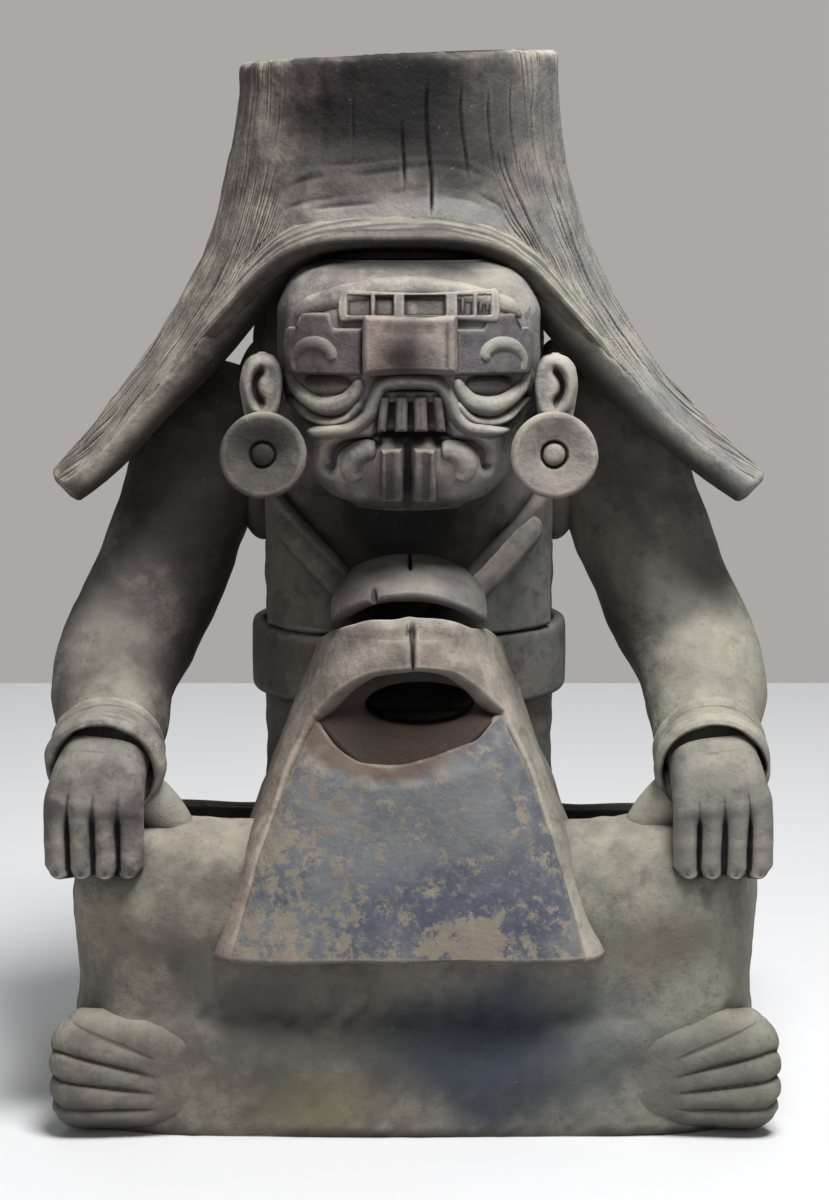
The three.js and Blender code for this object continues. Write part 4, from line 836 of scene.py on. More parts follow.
def make_tunic():
    """The tunic's front, a slab on the vessel whose upper edge is the V of the neckline."""

    def on_body(u, v):
        angle = np.radians(mix(-TUNIC_ANGLE, TUNIC_ANGLE, u))
        half = abs((VESSEL_R + TUNIC_THICKNESS) * sin(angle))
        top = minimum(TUNIC_TOP - NECKLINE_DEPTH * (1 - half / NECKLINE_HALF_WIDTH), TUNIC_TOP)
        z = mix(SASH_TOP + LUTE, top, v)
        r = vessel_radius(z) + LUTE
        return stack(r * sin(angle), -r * cos(angle), z)

    def tunic_face(x, z):
        r = vessel_radius(z) + LUTE + TUNIC_THICKNESS
        return sqrt(maximum(r * r - x * x, 1))

    def at(share):
        x = share * NECKLINE_HALF_WIDTH + COLLAR_WIDTH / 2 + 1
        return (x, TUNIC_TOP - NECKLINE_DEPTH * (1 - share) - COLLAR_WIDTH / 2)

    body = slab(on_body, 160, 60, TUNIC_THICKNESS, 0)
    clay_piece("tunic", [handmade(body, 0.5, 11, wrap=False)], "tunic_front", "vessel")
    path = [at(share) for share in (0.34, 0.52, 0.7, 0.84)]
    band = strip(tunic_face, path, COLLAR_WIDTH + 1, 3.6, taper=0.9)
    for (side, way), finish in zip(SIDES, ("collar", "vessel")):
        clay_piece(f"{side}_collar", [band * [way, 1, 1]], f"{side}_collar_band", finish)


def make_sash():
    """The sash: a flat ring with rounded edges."""
    low, high = SASH_TOP - SASH_HEIGHT, SASH_TOP
    inner, outer = VESSEL_R + LUTE, VESSEL_R + SASH_THICKNESS
    profile = [
        (inner, low), (outer - 2, low), (outer - 0.5, low + 1), (outer, low + 3.5),
        (outer + 0.2, (low + high) / 2),
        (outer, high - 3.5), (outer - 0.6, high - 1), (outer - 2.2, high), (inner, high),
    ]
    clay_piece("sash", [turned(profile, 160, steps=60)], "waist_sash", "vessel")


# Hooded apron

def hood_power(rise):
    """The power of the hood's plan, which falls from 7 at the hem to 2.4 at the shoulder."""
    return mix(7, 2.4, ease(rise, -1, 0))


def hood_point(degrees, rise, out=0.0):
    """The hood: its plan is a superellipse, square at the hem (rise -1) and round at the shoulder (rise 0),
    and above the shoulder it closes as a dome up to rise 1."""
    angle = np.radians(degrees)
    lower = minimum(rise, 0) + 1
    dome = maximum(rise, 0) * pi / 2
    half_width = mix(HOOD_HEM_HALF_WIDTH, HOOD_TOP_HALF_WIDTH, lower) * cos(dome) ** 1.3 + out
    reach = (mix(HOOD_HEM_REACH, HOOD_TOP_REACH, lower) - HOOD_BACK) * cos(dome) + out
    z = mix(HEM_HEIGHT, HOOD_SHOULDER, lower) + (HOOD_TOP - HOOD_SHOULDER + out) * sin(dome)
    power = hood_power(rise)
    s, c = sin(angle), maximum(cos(angle), 0)
    rounding = (abs(s) ** power + c**power) ** (-1 / power)
    return stack(half_width * rounding * s, -HOOD_BACK - reach * rounding * c, z)


def hood_place(x, z):
    """The hood's degrees and rise at a front point below its shoulder."""
    rise = (z - HEM_HEIGHT) / (HOOD_SHOULDER - HEM_HEIGHT) - 1
    across = clip(abs(x) / mix(HOOD_HEM_HALF_WIDTH, HOOD_TOP_HALF_WIDTH, rise + 1), 0, 0.999)
    ahead = (1 - across ** hood_power(rise)) ** (1 / hood_power(rise))
    return np.degrees(sign(x) * np.arctan2(across, ahead)), rise


def edge_line(share, knots):
    """The degrees and the rise at a share of the way along an edge drawn as (share, degrees, rise) knots."""
    return graded(share, [k[:2] for k in knots]), graded(share, [k[::2] for k in knots])


def lip_place(across, line):
    """The degrees and the rise of a lip: line gives its height above the mouth's middle."""
    return hood_place(across, MOUTH_MIDDLE + graded(across, line))


# The apron's edges as (share of the way up, degrees, rise), and the lips' heights above the mouth's middle
ARCH_OUTER = [
    (0, 90, -1), (0.3, 90, -0.6), (0.55, 90, -0.25), (0.7, 80, -0.1), (0.84, 46, 0.06), (0.92, 23, 0.19),
    (1, 0, 0.235),
]
ARCH_INNER = [(0, 42, -1), (0.3, 45, -0.63), (0.5, 48, -0.38), (0.6, 47, -0.27)]
LIP = [(-44, -2), (-41, 1), (-30, 11), (-14, 19), (2, 21), (18, 19), (30, 12), (39, 4), (43, 1)]
PANEL_TOP = [(-44, -3), (-32, -13), (-20, -20), (-8, -21.5), (6, -19), (18, -14.5), (30, -9), (43, 0)]
MOUTH_HALF_WIDTH = 43.5
PANEL_SHARE = 0.585
# The funnel's rings: the share of the way from the lips to the hole, and the depth
FUNNEL = [
    (0, 7.2), (0.10, 8.2), (0.25, 9.3), (0.42, 10.6), (0.60, 11.8), (0.78, 13.0), (0.92, 14.0),
    (1, 14.8), (1.0, 30), (0.85, 26), (0.6, 20), (0.3, 15), (0, 10),
]


def arch_edges(u):
    """The strip's inner and outer edge as (degrees, rise), for u from the left hem over the mouth to the
    right one. From the mouth's corners on, the inner edge is the arched upper lip."""
    share = 1 - abs(2 * u - 1)
    side = sign(2 * u - 1)
    low, outer = edge_line(share, ARCH_INNER), edge_line(share, ARCH_OUTER)
    lip = lip_place(side * MOUTH_HALF_WIDTH * clip((1 - share) / 0.4, 0, 1), LIP)
    over = ease(share, 0.56, 0.62)
    return (mix(side * low[0], lip[0], over), mix(low[1], lip[1], over)), (side * outer[0], outer[1])


def make_hood():
    """The strip with its rolled lip, the apron's panel, the funnel of the mouth and the cap above it."""

    def arch(u, v):
        inner, outer = arch_edges(u)
        return hood_point(mix(inner[0], outer[0], v), mix(inner[1], outer[1], v))

    def arch_relief(u, v, _):
        share = 1 - abs(2 * u - 1)
        lip = ease(share, 0.60, 0.80) * (2.6 * hump(v, 0.22, 0.22) + 0.8 * hump(v, 0.7, 0.25))
        cleft = -4.5 * hump(MOUTH_HALF_WIDTH * (2 * u - 1) / 0.4, 2, 0.8)
        return lip + cleft * ease(share, 0.9, 1) * ease(v, 0.9, 0.3)

    def panel(u, v):
        side = 2 * u - 1
        degrees, rise = edge_line(PANEL_SHARE * v, ARCH_INNER)
        corner = lip_place(side * MOUTH_HALF_WIDTH, PANEL_TOP)
        level = edge_line(PANEL_SHARE + 0 * v, ARCH_INNER)[1]
        lift = v**2.2
        inward = 7.5 * ease(v, 0.84, 1.0) ** 1.5 * (1 - 0.35 * side**4)
        spread = mix(side * (degrees + 1.3), corner[0], lift)
        return hood_point(spread, rise + (corner[1] - level) * lift) + stack(0 * u, inward, 0 * u)

    def panel_relief(u, v, _):
        fold = hump(v, 0.36 + 0.10 * sin(3 * u), 0.09) * hump(u, 0.5, 0.28)
        return fold - 0.9 * hump(v, 0.56, 0.14) * hump(u, 0.5, 0.3)

    def cap(u, v):
        low = mix(0.37, 0.08, abs(2 * u - 1) ** 2.4)
        reach = mix(52, 88, v)
        return hood_point(mix(-reach, reach, u), mix(low, 0.86, v), CAP_OVERLAP)

    def cap_relief(u, v, _):
        notch = -5 * hump(u, 0.515, 0.014) * ease(v, 0.40, 0.55)
        nick = -3.5 * hump(u, 0.26, 0.016) * ease(v, 0.22, 0.02)
        return notch + nick + 0.5 * hump(v, 0.3, 0.3)

    band = slab(arch, 440, 60, 0, THIN_WALL, 2.2, arch_relief)
    clay_piece("hood_strip", [handmade(band, 0.7, 22, wrap=False)], "hood_arch", "arch")
    rows, columns = 260, 170
    front = slab(panel, rows, columns, -0.3, THIN_WALL + 1, 2.5, panel_relief)
    u, v = crowded(rows)[:, None], crowded(columns)[None, :]
    rim = ease(v, 0.80, 0.97) * mix(1.0, 0.5, ease(u, 0.45, 0.95))
    inner = {"inner": concatenate([rim, rim[:, -2:0:-1]], axis=1)}
    clay_piece("apron", [handmade(front, 0.7, 22, wrap=False)], "apron_panel", "apron", inner)
    clay_piece("mouth_funnel", [mouth_funnel()], "hood_lining", "lining")
    dome = slab(cap, 220, 70, 0, 5, 2.0, cap_relief)
    clay_piece("cap", [handmade(dome, 0.5, 23, wrap=False)], "knot_cap", "cap")


def mouth_funnel():
    """The mouth's slopes: rings between the lens of the lips and the small hole behind, and back again."""
    c, s = cos(circle(220)), sin(circle(220))
    lens_x = (MOUTH_HALF_WIDTH + 3) * sign(c) * abs(c) ** 0.9
    lens_z = mix(graded(lens_x, PANEL_TOP) - 6, graded(lens_x, LIP) + 4, (s + 1) / 2)
    hole_z = 3.0 + 11 * s * where(s > 0, 1, 0.85)
    steps, depth = np.array(FUNNEL).T[..., None]
    x = mix(lens_x, 5 + 25 * c, steps)
    degrees, rise = hood_place(x, MOUTH_MIDDLE + mix(lens_z, hole_z, steps))
    grid = hood_point(degrees, rise) + stack(0 * x, depth + 0 * x, 0 * x)
    return concatenate([grid, grid[:1]])


# Headdress

def bell_radius(z):
    """The bell's radius: it flares from the crown to the brim as a power of the fall."""
    fall = maximum((CROWN_HEIGHT - z) / (CROWN_HEIGHT - BRIM_HEIGHT), 0)
    return CROWN_R + (BRIM_R - CROWN_R) * fall**BELL_POWER


def edge_height(degrees):
    """The front edge: an arch above the forehead that runs out level along the brim."""
    fall = (ARCH_HEIGHT - BRIM_HEIGHT) * (abs(degrees) / WING_ANGLE) ** ARCH_POWER
    bend = 3
    return BRIM_HEIGHT + bend * np.logaddexp(0, (ARCH_HEIGHT - fall - BRIM_HEIGHT) / bend)


def bell_point(degrees, z):
    """A point on the bell, which leans to the left above the brim."""
    angle = np.radians(degrees)
    r = bell_radius(z)
    return stack(r * sin(angle) + lean_at(z), -r * cos(angle), z)


def bell_sheet(u, v):
    """The bell's sheet: u runs round it from the left and v from its lower edge to the crown's rim."""
    below = mix(-BRIM_SWEEP, BRIM_SWEEP, u)
    degrees = mix(below, mix(-CROWN_SWEEP, CROWN_SWEEP, u), v)
    top = CROWN_HEIGHT + RIM_TILT * sin(np.radians(degrees))
    return degrees, mix(edge_height(below), top, v)


def straw(phase, along, seed):
    """Combed lines: sharp narrow grooves of uneven spacing and depth across the phase, in -1 to 0. Each fades
    in and out along its length, in dashes some 25 mm long."""
    draw = np.random.default_rng(seed)
    count = 400
    centres = np.cumsum(draw.uniform(0.45, 1.6, count))
    centres = (centres - centres[count // 2]) / centres[count // 2] * 200
    depths = draw.uniform(0.2, 1.0, count)
    i = clip(np.searchsorted(centres, phase), 1, count - 1)
    before = abs(phase - centres[i - 1])
    after = abs(centres[i] - phase)
    nearest = where(before < after, i - 1, i)
    dashes = clip(0.6 + 0.7 * ripple(stack(nearest * 31.0, 0 * along, along), 34, seed + 1), 0.1, 1)
    return -depths[nearest] * dashes * exp(-((minimum(before, after) / 0.28) ** 2))


def bell_relief(degrees, z, u, v):
    """The straw's lines leave the crown downwards, sweep out and end along the front edge, and over the
    forehead they are low arcs instead. A few deep slits are cut below the rim. Returns the relief, and the
    depth of its lines from 0 to 1."""
    run = maximum(z - edge_height(mix(-BRIM_SWEEP, BRIM_SWEEP, u)), 0)
    side = np.tanh(degrees / 26)
    wobble = 1.6 * ripple(stack(degrees, 0 * z, z * 0.5), 60, 31)
    sweep = 40 * side * (1 - exp(-run / 40)) * ease(abs(degrees), 125, 80)
    slant = 0.10 * (CROWN_HEIGHT - z) * ease(-degrees, 10, 50)
    phase = (degrees * 1.15 + sweep - slant + wobble) / 2.4
    strong = mix(0.15, 1.0, ease(abs(degrees + 8), 24, 46)) * mix(0.3, 1.8, ease(z, 455, 375))
    fade = 0.65 + 0.35 * ripple(stack(degrees * 2, 0 * z, z), 50, 32)
    middle = ease(abs(degrees), 44, 30)
    above = 1 - middle * ease(run, 44, 30)
    combed = straw(phase, z, 33) * strong * fade * above * ease(v, 0.0, 0.02)
    arcs = straw(run / 6.5 + 0.5 * ripple(stack(degrees, 0 * z, 0 * z), 50, 34), degrees * 1.4, 35)
    arcs = 0.55 * arcs * middle * ease(run, 46, 34) * ease(run, 14, 18)
    cut = 0 * z
    for place, start, length, depth in SLITS:
        within = ease(z, start - length - 4, start - length + 6) * ease(z, start + 6, start - 6) * depth
        cut = maximum(cut, hump(degrees + 0.5 * sin(z / 9), place, 0.36) * within)
    bent = stack(degrees * 1.3, 0 * z, z)
    ragged = 0.8 * ripple(bent, 55, 37) + 0.45 * ripple(bent, 13, 38)
    lines = maximum(-combed * 2.0, maximum(-arcs, cut))
    return 2.5 * combed + 1.2 * arcs - 4.0 * cut + ragged, clip(lines, 0, 1)


def make_bell():
    """The bell: a combed outer skin, a plainer inner skin, and a rounded worn edge between them all round.
    Its columns crowd towards the front, where the lines are seen straight on."""
    around, inner_around, inner_rows = 790, 150, 12
    even = linspace(0, 1, around)
    u = (even + 0.03 * sin(4 * pi * even))[:, None]
    runs = [(0, 0.2, 56), (0.2, 0.5, 34), (0.5, 0.96, 15), (0.96, 1, 8)]
    v = np.unique(concatenate([linspace(*run) for run in runs]))[None, :]
    u, v = np.broadcast_arrays(u, v)
    degrees, z = bell_sheet(u, v)
    skin = bell_point(degrees, z)
    normal = skin_normals(skin)
    normal *= sign((normal * skin * [1, 1, 0]).sum(-1, keepdims=True))
    edge = edge_distance(skin)
    worn = 2.5 * (1 - bow(1 - clip(edge / 3.5, 0, 1)))
    relief, lines = bell_relief(degrees, z, u, v)
    flat = stack(degrees * 1.5, 0 * z, 0 * z)
    chipped = ripple(flat, 24, 39) + 0.7 * ripple(flat, 7, 40)
    outer = pushed(skin, normal, -worn + relief * ease(edge, 0, 2))
    outer[..., 2] += minimum(0.9 * chipped - 0.7, 0) * ease(v, 0.9, 1)
    inner_rib = 6 * ease(abs(degrees), 18, 32) * ease(abs(degrees), 70, 52) * ease(v, 0.5, 0.1)
    back = pushed(skin, -normal, BELL_WALL + inner_rib - worn)
    back = pushed(back, normal, 0.8 * ripple(back, 40, 43))
    deep = linspace(0, v.shape[1] - 1, inner_rows).astype(int)[::-1]
    kept = linspace(0, around - 1, inner_around).astype(int)
    inner = [[np.interp(np.arange(around), kept, back[kept, j, k]) for k in range(3)] for j in deep]
    wall = concatenate([outer, np.stack(inner).transpose(2, 0, 1)], axis=1)
    wall[..., 2] = minimum(wall[..., 2], CROWN_HEIGHT + RIM_TILT - 0.05)
    # Painted shade: the combed lines and slits are darkened by their depth, and the whole inner skin by 0.85.
    groove_shade = {"groove_shade": tube(lines[..., None], np.full((around, inner_rows, 1), 0.85))}
    clay_piece("headdress", [closed_ends(wall)], "headdress_bell", "straw", groove_shade)


def make_hem():
    """The band along the headdress's front edge: a low roll over the forehead that runs out into the wings,
    where the combed lines go on across it."""

    def across(u):
        return mix(-WING_ANGLE + 2, WING_ANGLE - 2, u)

    def band(u, v):
        degrees = across(u)
        low = edge_height(degrees) + mix(-1.2, 3.2, ease(abs(degrees), 48, 60))
        run = 2 * bell_radius(low) * math.radians(1)
        slope = (edge_height(degrees + 1) - edge_height(degrees - 1)) / run
        return bell_point(degrees, low + v * HEM_WIDTH * hypot(1, slope * 0.8))

    def relief(u, v, edge):
        degrees = across(u)
        wing, ends = ease(abs(degrees), 30, 52), ease(abs(degrees), 48, 62)
        lines = straw(v * HEM_WIDTH / 4.2 + 0.6 * sin(u * 9) + 3, degrees * 1.6, 41)
        sunk = (HEM_RELIEF + 0.8) * ease(v, 0.30, 0.95)
        flat = -maximum(sunk, (HEM_RELIEF - 1.6) * wing + 3.2 * ends) * ease(edge, 0.0, 1.2)
        return flat + lines * mix(0.4, 1.5, wing) * ease(v, 0.15, 0.35) * ease(edge, 0.5, 2.0)

    hem = slab(band, 460, 60, HEM_RELIEF, 9, 3.0, relief)
    clay_piece("hem", [handmade(hem, 0.6, 42, wrap=False)], "headdress_hem", "hem")


# Arms

def path_frame(line):
    """Along a path, level and sideways from it, and square to both."""
    along = unit(np.gradient(line, axis=0))
    aside = unit(np.array([1.0, 0, 0]) - along * along[:, :1])
    return along[:, None], aside[:, None], unit(np.cross(aside, along))[:, None]


ARM_PATH = [
    (88, 8, 349), (96, 6, 320), (105, 4, 290), (116, 0, 262), (126, -6, 235),
    (138, -18, 213), (142, -38, 198), (140, -58, 186), (140, -76, 179), (140, -94, 172),
]
SLEEVE_R = [
    (0, 14), (0.03, 23), (0.08, 30), (0.15, 34), (0.35, UPPER_ARM_R), (0.55, UPPER_ARM_R),
    (0.68, 30.5), (0.84, 27), (0.92, 24), (1, 20),
]


def make_arms():
    """Each sleeve is a tube of circles along the arm's path, smoothed along its length, and an ellipsoid web
    that joins it to the body."""
    line = route(ARM_PATH, linspace(0, 1, 150))
    radius = graded(linspace(0, 1, 150), SLEEVE_R)[:, None, None]
    _, aside, out = path_frame(line)
    turn = circle(96)[..., None]
    sleeve = line[:, None] + aside * (cos(turn) * radius) + out * (sin(turn) * radius)
    for _ in range(60):
        sleeve[1:-1] = (sleeve[:-2] + 2 * sleeve[1:-1] + sleeve[2:]) / 4
    turn = circle(72)
    lift = linspace(-pi / 2, pi / 2, 40)[:, None]
    web = stack(71 + 16 * cos(lift) * cos(turn), 18 * cos(lift) * sin(turn), 312 + 49 * sin(lift))
    for side, way in SIDES:
        closed = closed_ends(handmade(sleeve * [way, 1, 1], 0.8, 51))
        clay_piece(f"{side}_sleeve", [closed, web * [way, 1, 1]], f"{side}_arm", "arm")


def along_wrist(grid):
    """Lays a body turned about +Z along the wrist, from the cuff's upper edge."""
    tilt = math.pi / 2 + WRIST_SLOPE
    y = grid[..., 1] * math.cos(tilt) - grid[..., 2] * math.sin(tilt)
    z = grid[..., 1] * math.sin(tilt) + grid[..., 2] * math.cos(tilt)
    return stack(grid[..., 0] + WRIST_X, y - WRIST_REACH + 14, z + WRIST_HEIGHT + 5)


def make_cuffs():
    """Each cuff is a thick rolled band, open towards the hand."""
    inner, outer, end = CUFF_R - CUFF_WALL, CUFF_R, CUFF_LENGTH
    profile = [
        (inner - 1, 0.5), (outer - 3.5, -1.0), (outer - 1.2, 1.0), (outer + 0.1, 5), (outer - 0.8, 11),
        (outer + 0.1, end - 9), (outer + 0.6, end - 5), (outer - 0.3, end - 2), (outer - 2.2, end - 0.3),
        (inner + 0.4, end - 1.2), (inner - 0.6, end - 5), (inner - 1, 8),
    ]
    cuff = along_wrist(turned(profile, 120, steps=90))
    clay_pair("cuff_band", [(cuff, 0.8, 53)], "cuff", "cuff")


HAND_PATH = [
    (140, -98, 173.5), (141, -103, 169), (142.5, -110.5, 161), (144, -113, 150), (144, -113.5, 135.3),
    (144, -113.5, 121),
]


def make_hands():
    """The back of the hand bends over the knee, and four fingers part below the knuckles. Each fingertip is
    rounded on its own, with a nail pressed in, and a thumb lies at the inner side: a sheared ellipsoid."""
    share = crowded(130, 0.4)[:, None]
    line = route(HAND_PATH, share[:, 0])
    width = graded(share, [(0, 20.5), (0.2, 21.5), (0.45, HAND_HALF_WIDTH), (0.9, HAND_HALF_WIDTH), (1, 21)])
    thick = graded(share, [(0, 17), (0.2, 16.5), (0.4, 13), (0.6, 10.5), (0.9, 9), (0.97, 8), (1, 6)])
    along, aside, out = path_frame(line)
    out = out * where(out[..., 1:2] > 0, -1, 1)
    across = sin(linspace(-1, 1, 116) * pi / 2 * 0.98)[None, :]
    dome = (1 - abs(across) ** 3.4) ** 0.45
    ridge = abs(sin(pi * (across + 1) / 2 * FINGERS))
    fingers = 1 - ease(share, 0.40, 0.56) * (1 - ridge**0.34)
    within = ((across + 1) / 2 * FINGERS) % 1 * 2 - 1
    nail = -0.7 * hump(share, 0.925, 0.035) * hump(within, 0, 0.42)
    nail_rim = 0.8 * hump(share, 0.975, 0.016) * hump(within, 0, 0.45)
    tip = ease(share, 0.86, 1.0) * 4.6 * (1 - bow(abs(within), 2.2))
    knuckle, joint = 0.9 * hump(share, 0.42, 0.06) * ridge**0.7, 0.5 * hump(share, 0.70, 0.05)
    lift = thick * dome - FINGER_GROOVE * (1 - fingers) * dome + knuckle + joint + nail + nail_rim
    top = pushed(line[:, None], aside, across * width)
    top = pushed(pushed(top, out, lift * mix(0.45, 1, bow(ease(share, 0.955, 1.0)))), -along, tip)
    below = linspace(0.98, -0.98, 30)[None, :]
    palm = pushed(line[:, None], aside, below * width)
    palm = pushed(palm, -out, 0.8 * thick * (1 - abs(below) ** 4) ** 0.5)
    palm = pushed(palm, -along, 4.5 * ease(share, 0.9, 1.0))
    hand = tube(top, palm)
    # Painted shade in the grooves between the fingers.
    between = ease(1 - fingers, 0.22, 0.45) * ease(share, 0.45, 0.6) * (abs(across) < 0.9)
    groove_shade = {"groove_shade": tube(between[..., None], 0 * (share + below)[..., None])}
    turn = circle(72)
    tall = linspace(-pi / 2, pi / 2, 40)[:, None]
    full, up = cos(tall), sin(tall)
    thumb = stack(
        117 + 13 * full * cos(turn) + 13 * up, -90 + 8 * full * sin(turn) - 2 * up, 150 + 22 * up + 0 * turn
    )
    clay_pair("palm_and_fingers", [(hand, 0.35, 55), (thumb, 0.3, 56)], "hand", "hand", groove_shade)


# Feet

def make_feet():
    """Each foot lies on its side at a front corner. Four toes are parted by grooves that run together a
    little towards the ankle, and its top is the end of the shin's roll."""
    t = crowded(120, 0.6)[:, None]
    middle = FOOT_HEIGHT / 2 - 1
    fullness = graded(t, [(0, 0.5), (0.3, 0.74), (0.6, 0.94), (0.8, 1), (0.9, 0.97), (1, 0.8)])
    rise = graded(t, [(0, 0.86), (0.5, 1), (0.9, 0.98), (0.97, 0.9), (1, 0.8)])
    x = mix(FOOT_TIP - FOOT_LENGTH, FOOT_TIP, t)
    front = mix(SEAT_FRONT - 14, FOOT_REACH, fullness)
    up = sin(linspace(-1, 1, 130) * pi / 2 * 0.985)[None, :]
    dome = (1 - abs(up) ** 3.5) ** 0.5
    lines = clip((up + 0.4 * (1 - t)) / mix(0.27, 1, t), -1, 1)
    toe = abs(sin(pi * (lines + 1) / 2 * TOES))
    groove = ease(t, 0.34, 0.60) * TOE_GROOVE * (1 - toe**0.5) * dome
    within = ((lines + 1) / 2 * TOES) % 1 * 2 - 1
    tip = ease(t, 0.84, 1) * 2.4 * (1 - bow(within))
    roll = 1.5 * hump(up, 0.62, 0.25) * ease(t, 0.75, 0.3)
    outer = stack(
        SEAT_OFFSET + x - (1 - dome) * 6 * t - tip,
        -(front - 22 + 22 * dome * mix(0.8, 1, bow(ease(t, 0.93, 1.0))) - groove + roll),
        maximum(middle + up * middle * rise, 0),
    )
    back_up = linspace(0.98, -0.98, 26)[None, :]
    inner = stack(
        SEAT_OFFSET + x - 9 * ease(t, 0.55, 1) + 0 * back_up,
        -SEAT_FRONT + 54 - 8 * (1 - back_up**2) * t,
        maximum((middle + back_up * middle * rise) * 0.84, 0),
    )
    foot = tube(outer, inner)
    other = foot * [-1, 1, 1] + [2 * SEAT_OFFSET, 0, 0]
    for side, grid in (("right", foot), ("left", other)):
        shaped = handmade(grid, 0.45, 61)
        shaped[..., 2] = maximum(shaped[..., 2], 0)
        clay_piece(f"{side}_foot_and_toes", [shaped], f"{side}_foot", "seat")


# Head

WIDTH_SHARE = [
    (0, 0.42), (0.05, 0.62), (0.14, 0.76), (0.3, 0.85), (0.45, 0.93),
    (0.62, 1), (0.78, 1), (0.9, 0.92), (0.96, 0.82), (1, 0.66),
]
DEPTH_SHARE = [
    (0, 0.72), (0.06, 0.84), (0.2, 0.96), (0.5, 1), (0.72, 0.97), (0.88, 0.87), (0.96, 0.76), (1, 0.6),
]


def head_share(z):
    """The share of the way from the chin to the top of the head."""
    return (z - CHIN_HEIGHT) / (HEAD_TOP - CHIN_HEIGHT)


def face(x, z):
    """How far the face reaches in front of the vessel's axis: a superellipse in plan at each height."""
    across = minimum(abs(x) / (HEAD_HALF_WIDTH * graded(head_share(z), WIDTH_SHARE)), 0.97)
    depth = HEAD_DEPTH * graded(head_share(z), DEPTH_SHARE)
    return HEAD_REACH + depth * (1 - across**HEAD_POWER) ** (1 / HEAD_POWER)


def near_path(x, z, path, reach):
    """A bell of the distance to a path on the face, taken as the least distance to points along it."""
    line = route(path, linspace(0, 1, 40))
    apart = hypot(x[..., None] - line[:, 0], z[..., None] - line[:, 1]).min(axis=-1)
    return exp(-((apart / reach) ** 2))


def above(height, path):
    """A path given by its rise above a height."""
    return [(x, height + rise) for x, rise in path]


def both_sides(path):
    """The path from its mirror image's start to its own start."""
    return [(-x, z) for x, z in path] + path[::-1]


LID = above(EYE_LINE, [(55.5, 3), (52.5, -6), (45, -12), (37.5, -14), (29, -12), (23.5, -6.5), (21.5, -1)])
CHEEK_BAND = above(EYE_LINE, [(58, -4), (53, -13), (46, -19), (37, -21.5), (29, -20), (23, -13)])
BROW_CURL = above(EYE_LINE, [(51.5, 1), (51.6, 8), (47, 13.4), (40.5, 14.4), (35.5, 11.5), (34.5, 7)])
BROW_BAND = above(EYE_LINE, both_sides([(51, 26.5), (43.6, 31.7), (31, 35.5), (16, 38.5), (4, 39.5)]))
UPPER_LIP = above(
    MOUTH_LINE,
    [
        (-45, 2), (-34, 3.2), (-25, 5), (-18.5, 10), (-15.5, 17), (-12.5, 23.5), (-6, 26),
        (8, 26), (14.5, 23.5), (18.5, 17), (21.5, 10), (27, 5), (36, 3.5), (45, 3),
    ]
)
MOUTH_CORNER = above(MOUTH_LINE, [(14, -1.5), (22, -2), (30, -3.5), (35, -8), (36, -14)])
MOUTH_CURL = above(MOUTH_LINE, [(14.5, -6), (19.5, -5.8), (24.5, -9), (26.5, -14.5), (24, -20)])
CHIN_BAND = above(MOUTH_LINE, [(33, -17), (29, -24), (22, -28)])
TEETH = [(-10.6, 2.1, -1.6), (-2.9, 2.8, -0.4), (5.2, 3.1, 0.4), (13, 2.2, 1.6)]


def face_relief(x, z):
    """The face's own modelling: eye hollows, the recess behind the teeth, the slot of the mouth with its
    turned-down corners, cheeks, and the creases that follow the lids and the lip."""
    side = abs(x)
    eye = -3.2 * exp(-(((side - 37) / 14) ** 4) - (((z - EYE_LINE + 3) / 6.5) ** 2))
    half = mix(18.5, 12.5, (z - MOUTH_LINE) / 22)
    arch = ease(abs(x - 1.5), half + 1, half - 2) * ease(z, MOUTH_LINE - 1, MOUTH_LINE + 1)
    arch = arch * ease(z, MOUTH_LINE + 26, MOUTH_LINE + 21)
    slot = -5.0 * ease(abs(x - 2), 17, 12) * hump(z, MOUTH_LINE + 0.5, 2.6)
    corner = -4.2 * near_path(side, z, MOUTH_CORNER, 2.4)
    cheek = 2.4 * near_path(side, z, CHEEK_BAND, 2.6) + 1.2 * near_path(side, z, CHIN_BAND, 4)
    crease = -1.8 * near_path(side, z, [(px, pz - 4.2) for px, pz in LID[1:-1]], 1.6)
    below = -3.0 * near_path(side, z, [(px, pz - 4.0) for px, pz in CHEEK_BAND[1:-1]], 2.2)
    temple = -1.5 * spot(side, z - EYE_LINE, (59, 8), (5, 16))
    groove = -5.0 * hump(x, -0.4, 2.2) * ease(z, MOUTH_LINE, MOUTH_LINE - 4) * ease(z, 288, 296)
    return eye - 4.0 * arch + slot + corner + cheek + crease + below + temple + groove


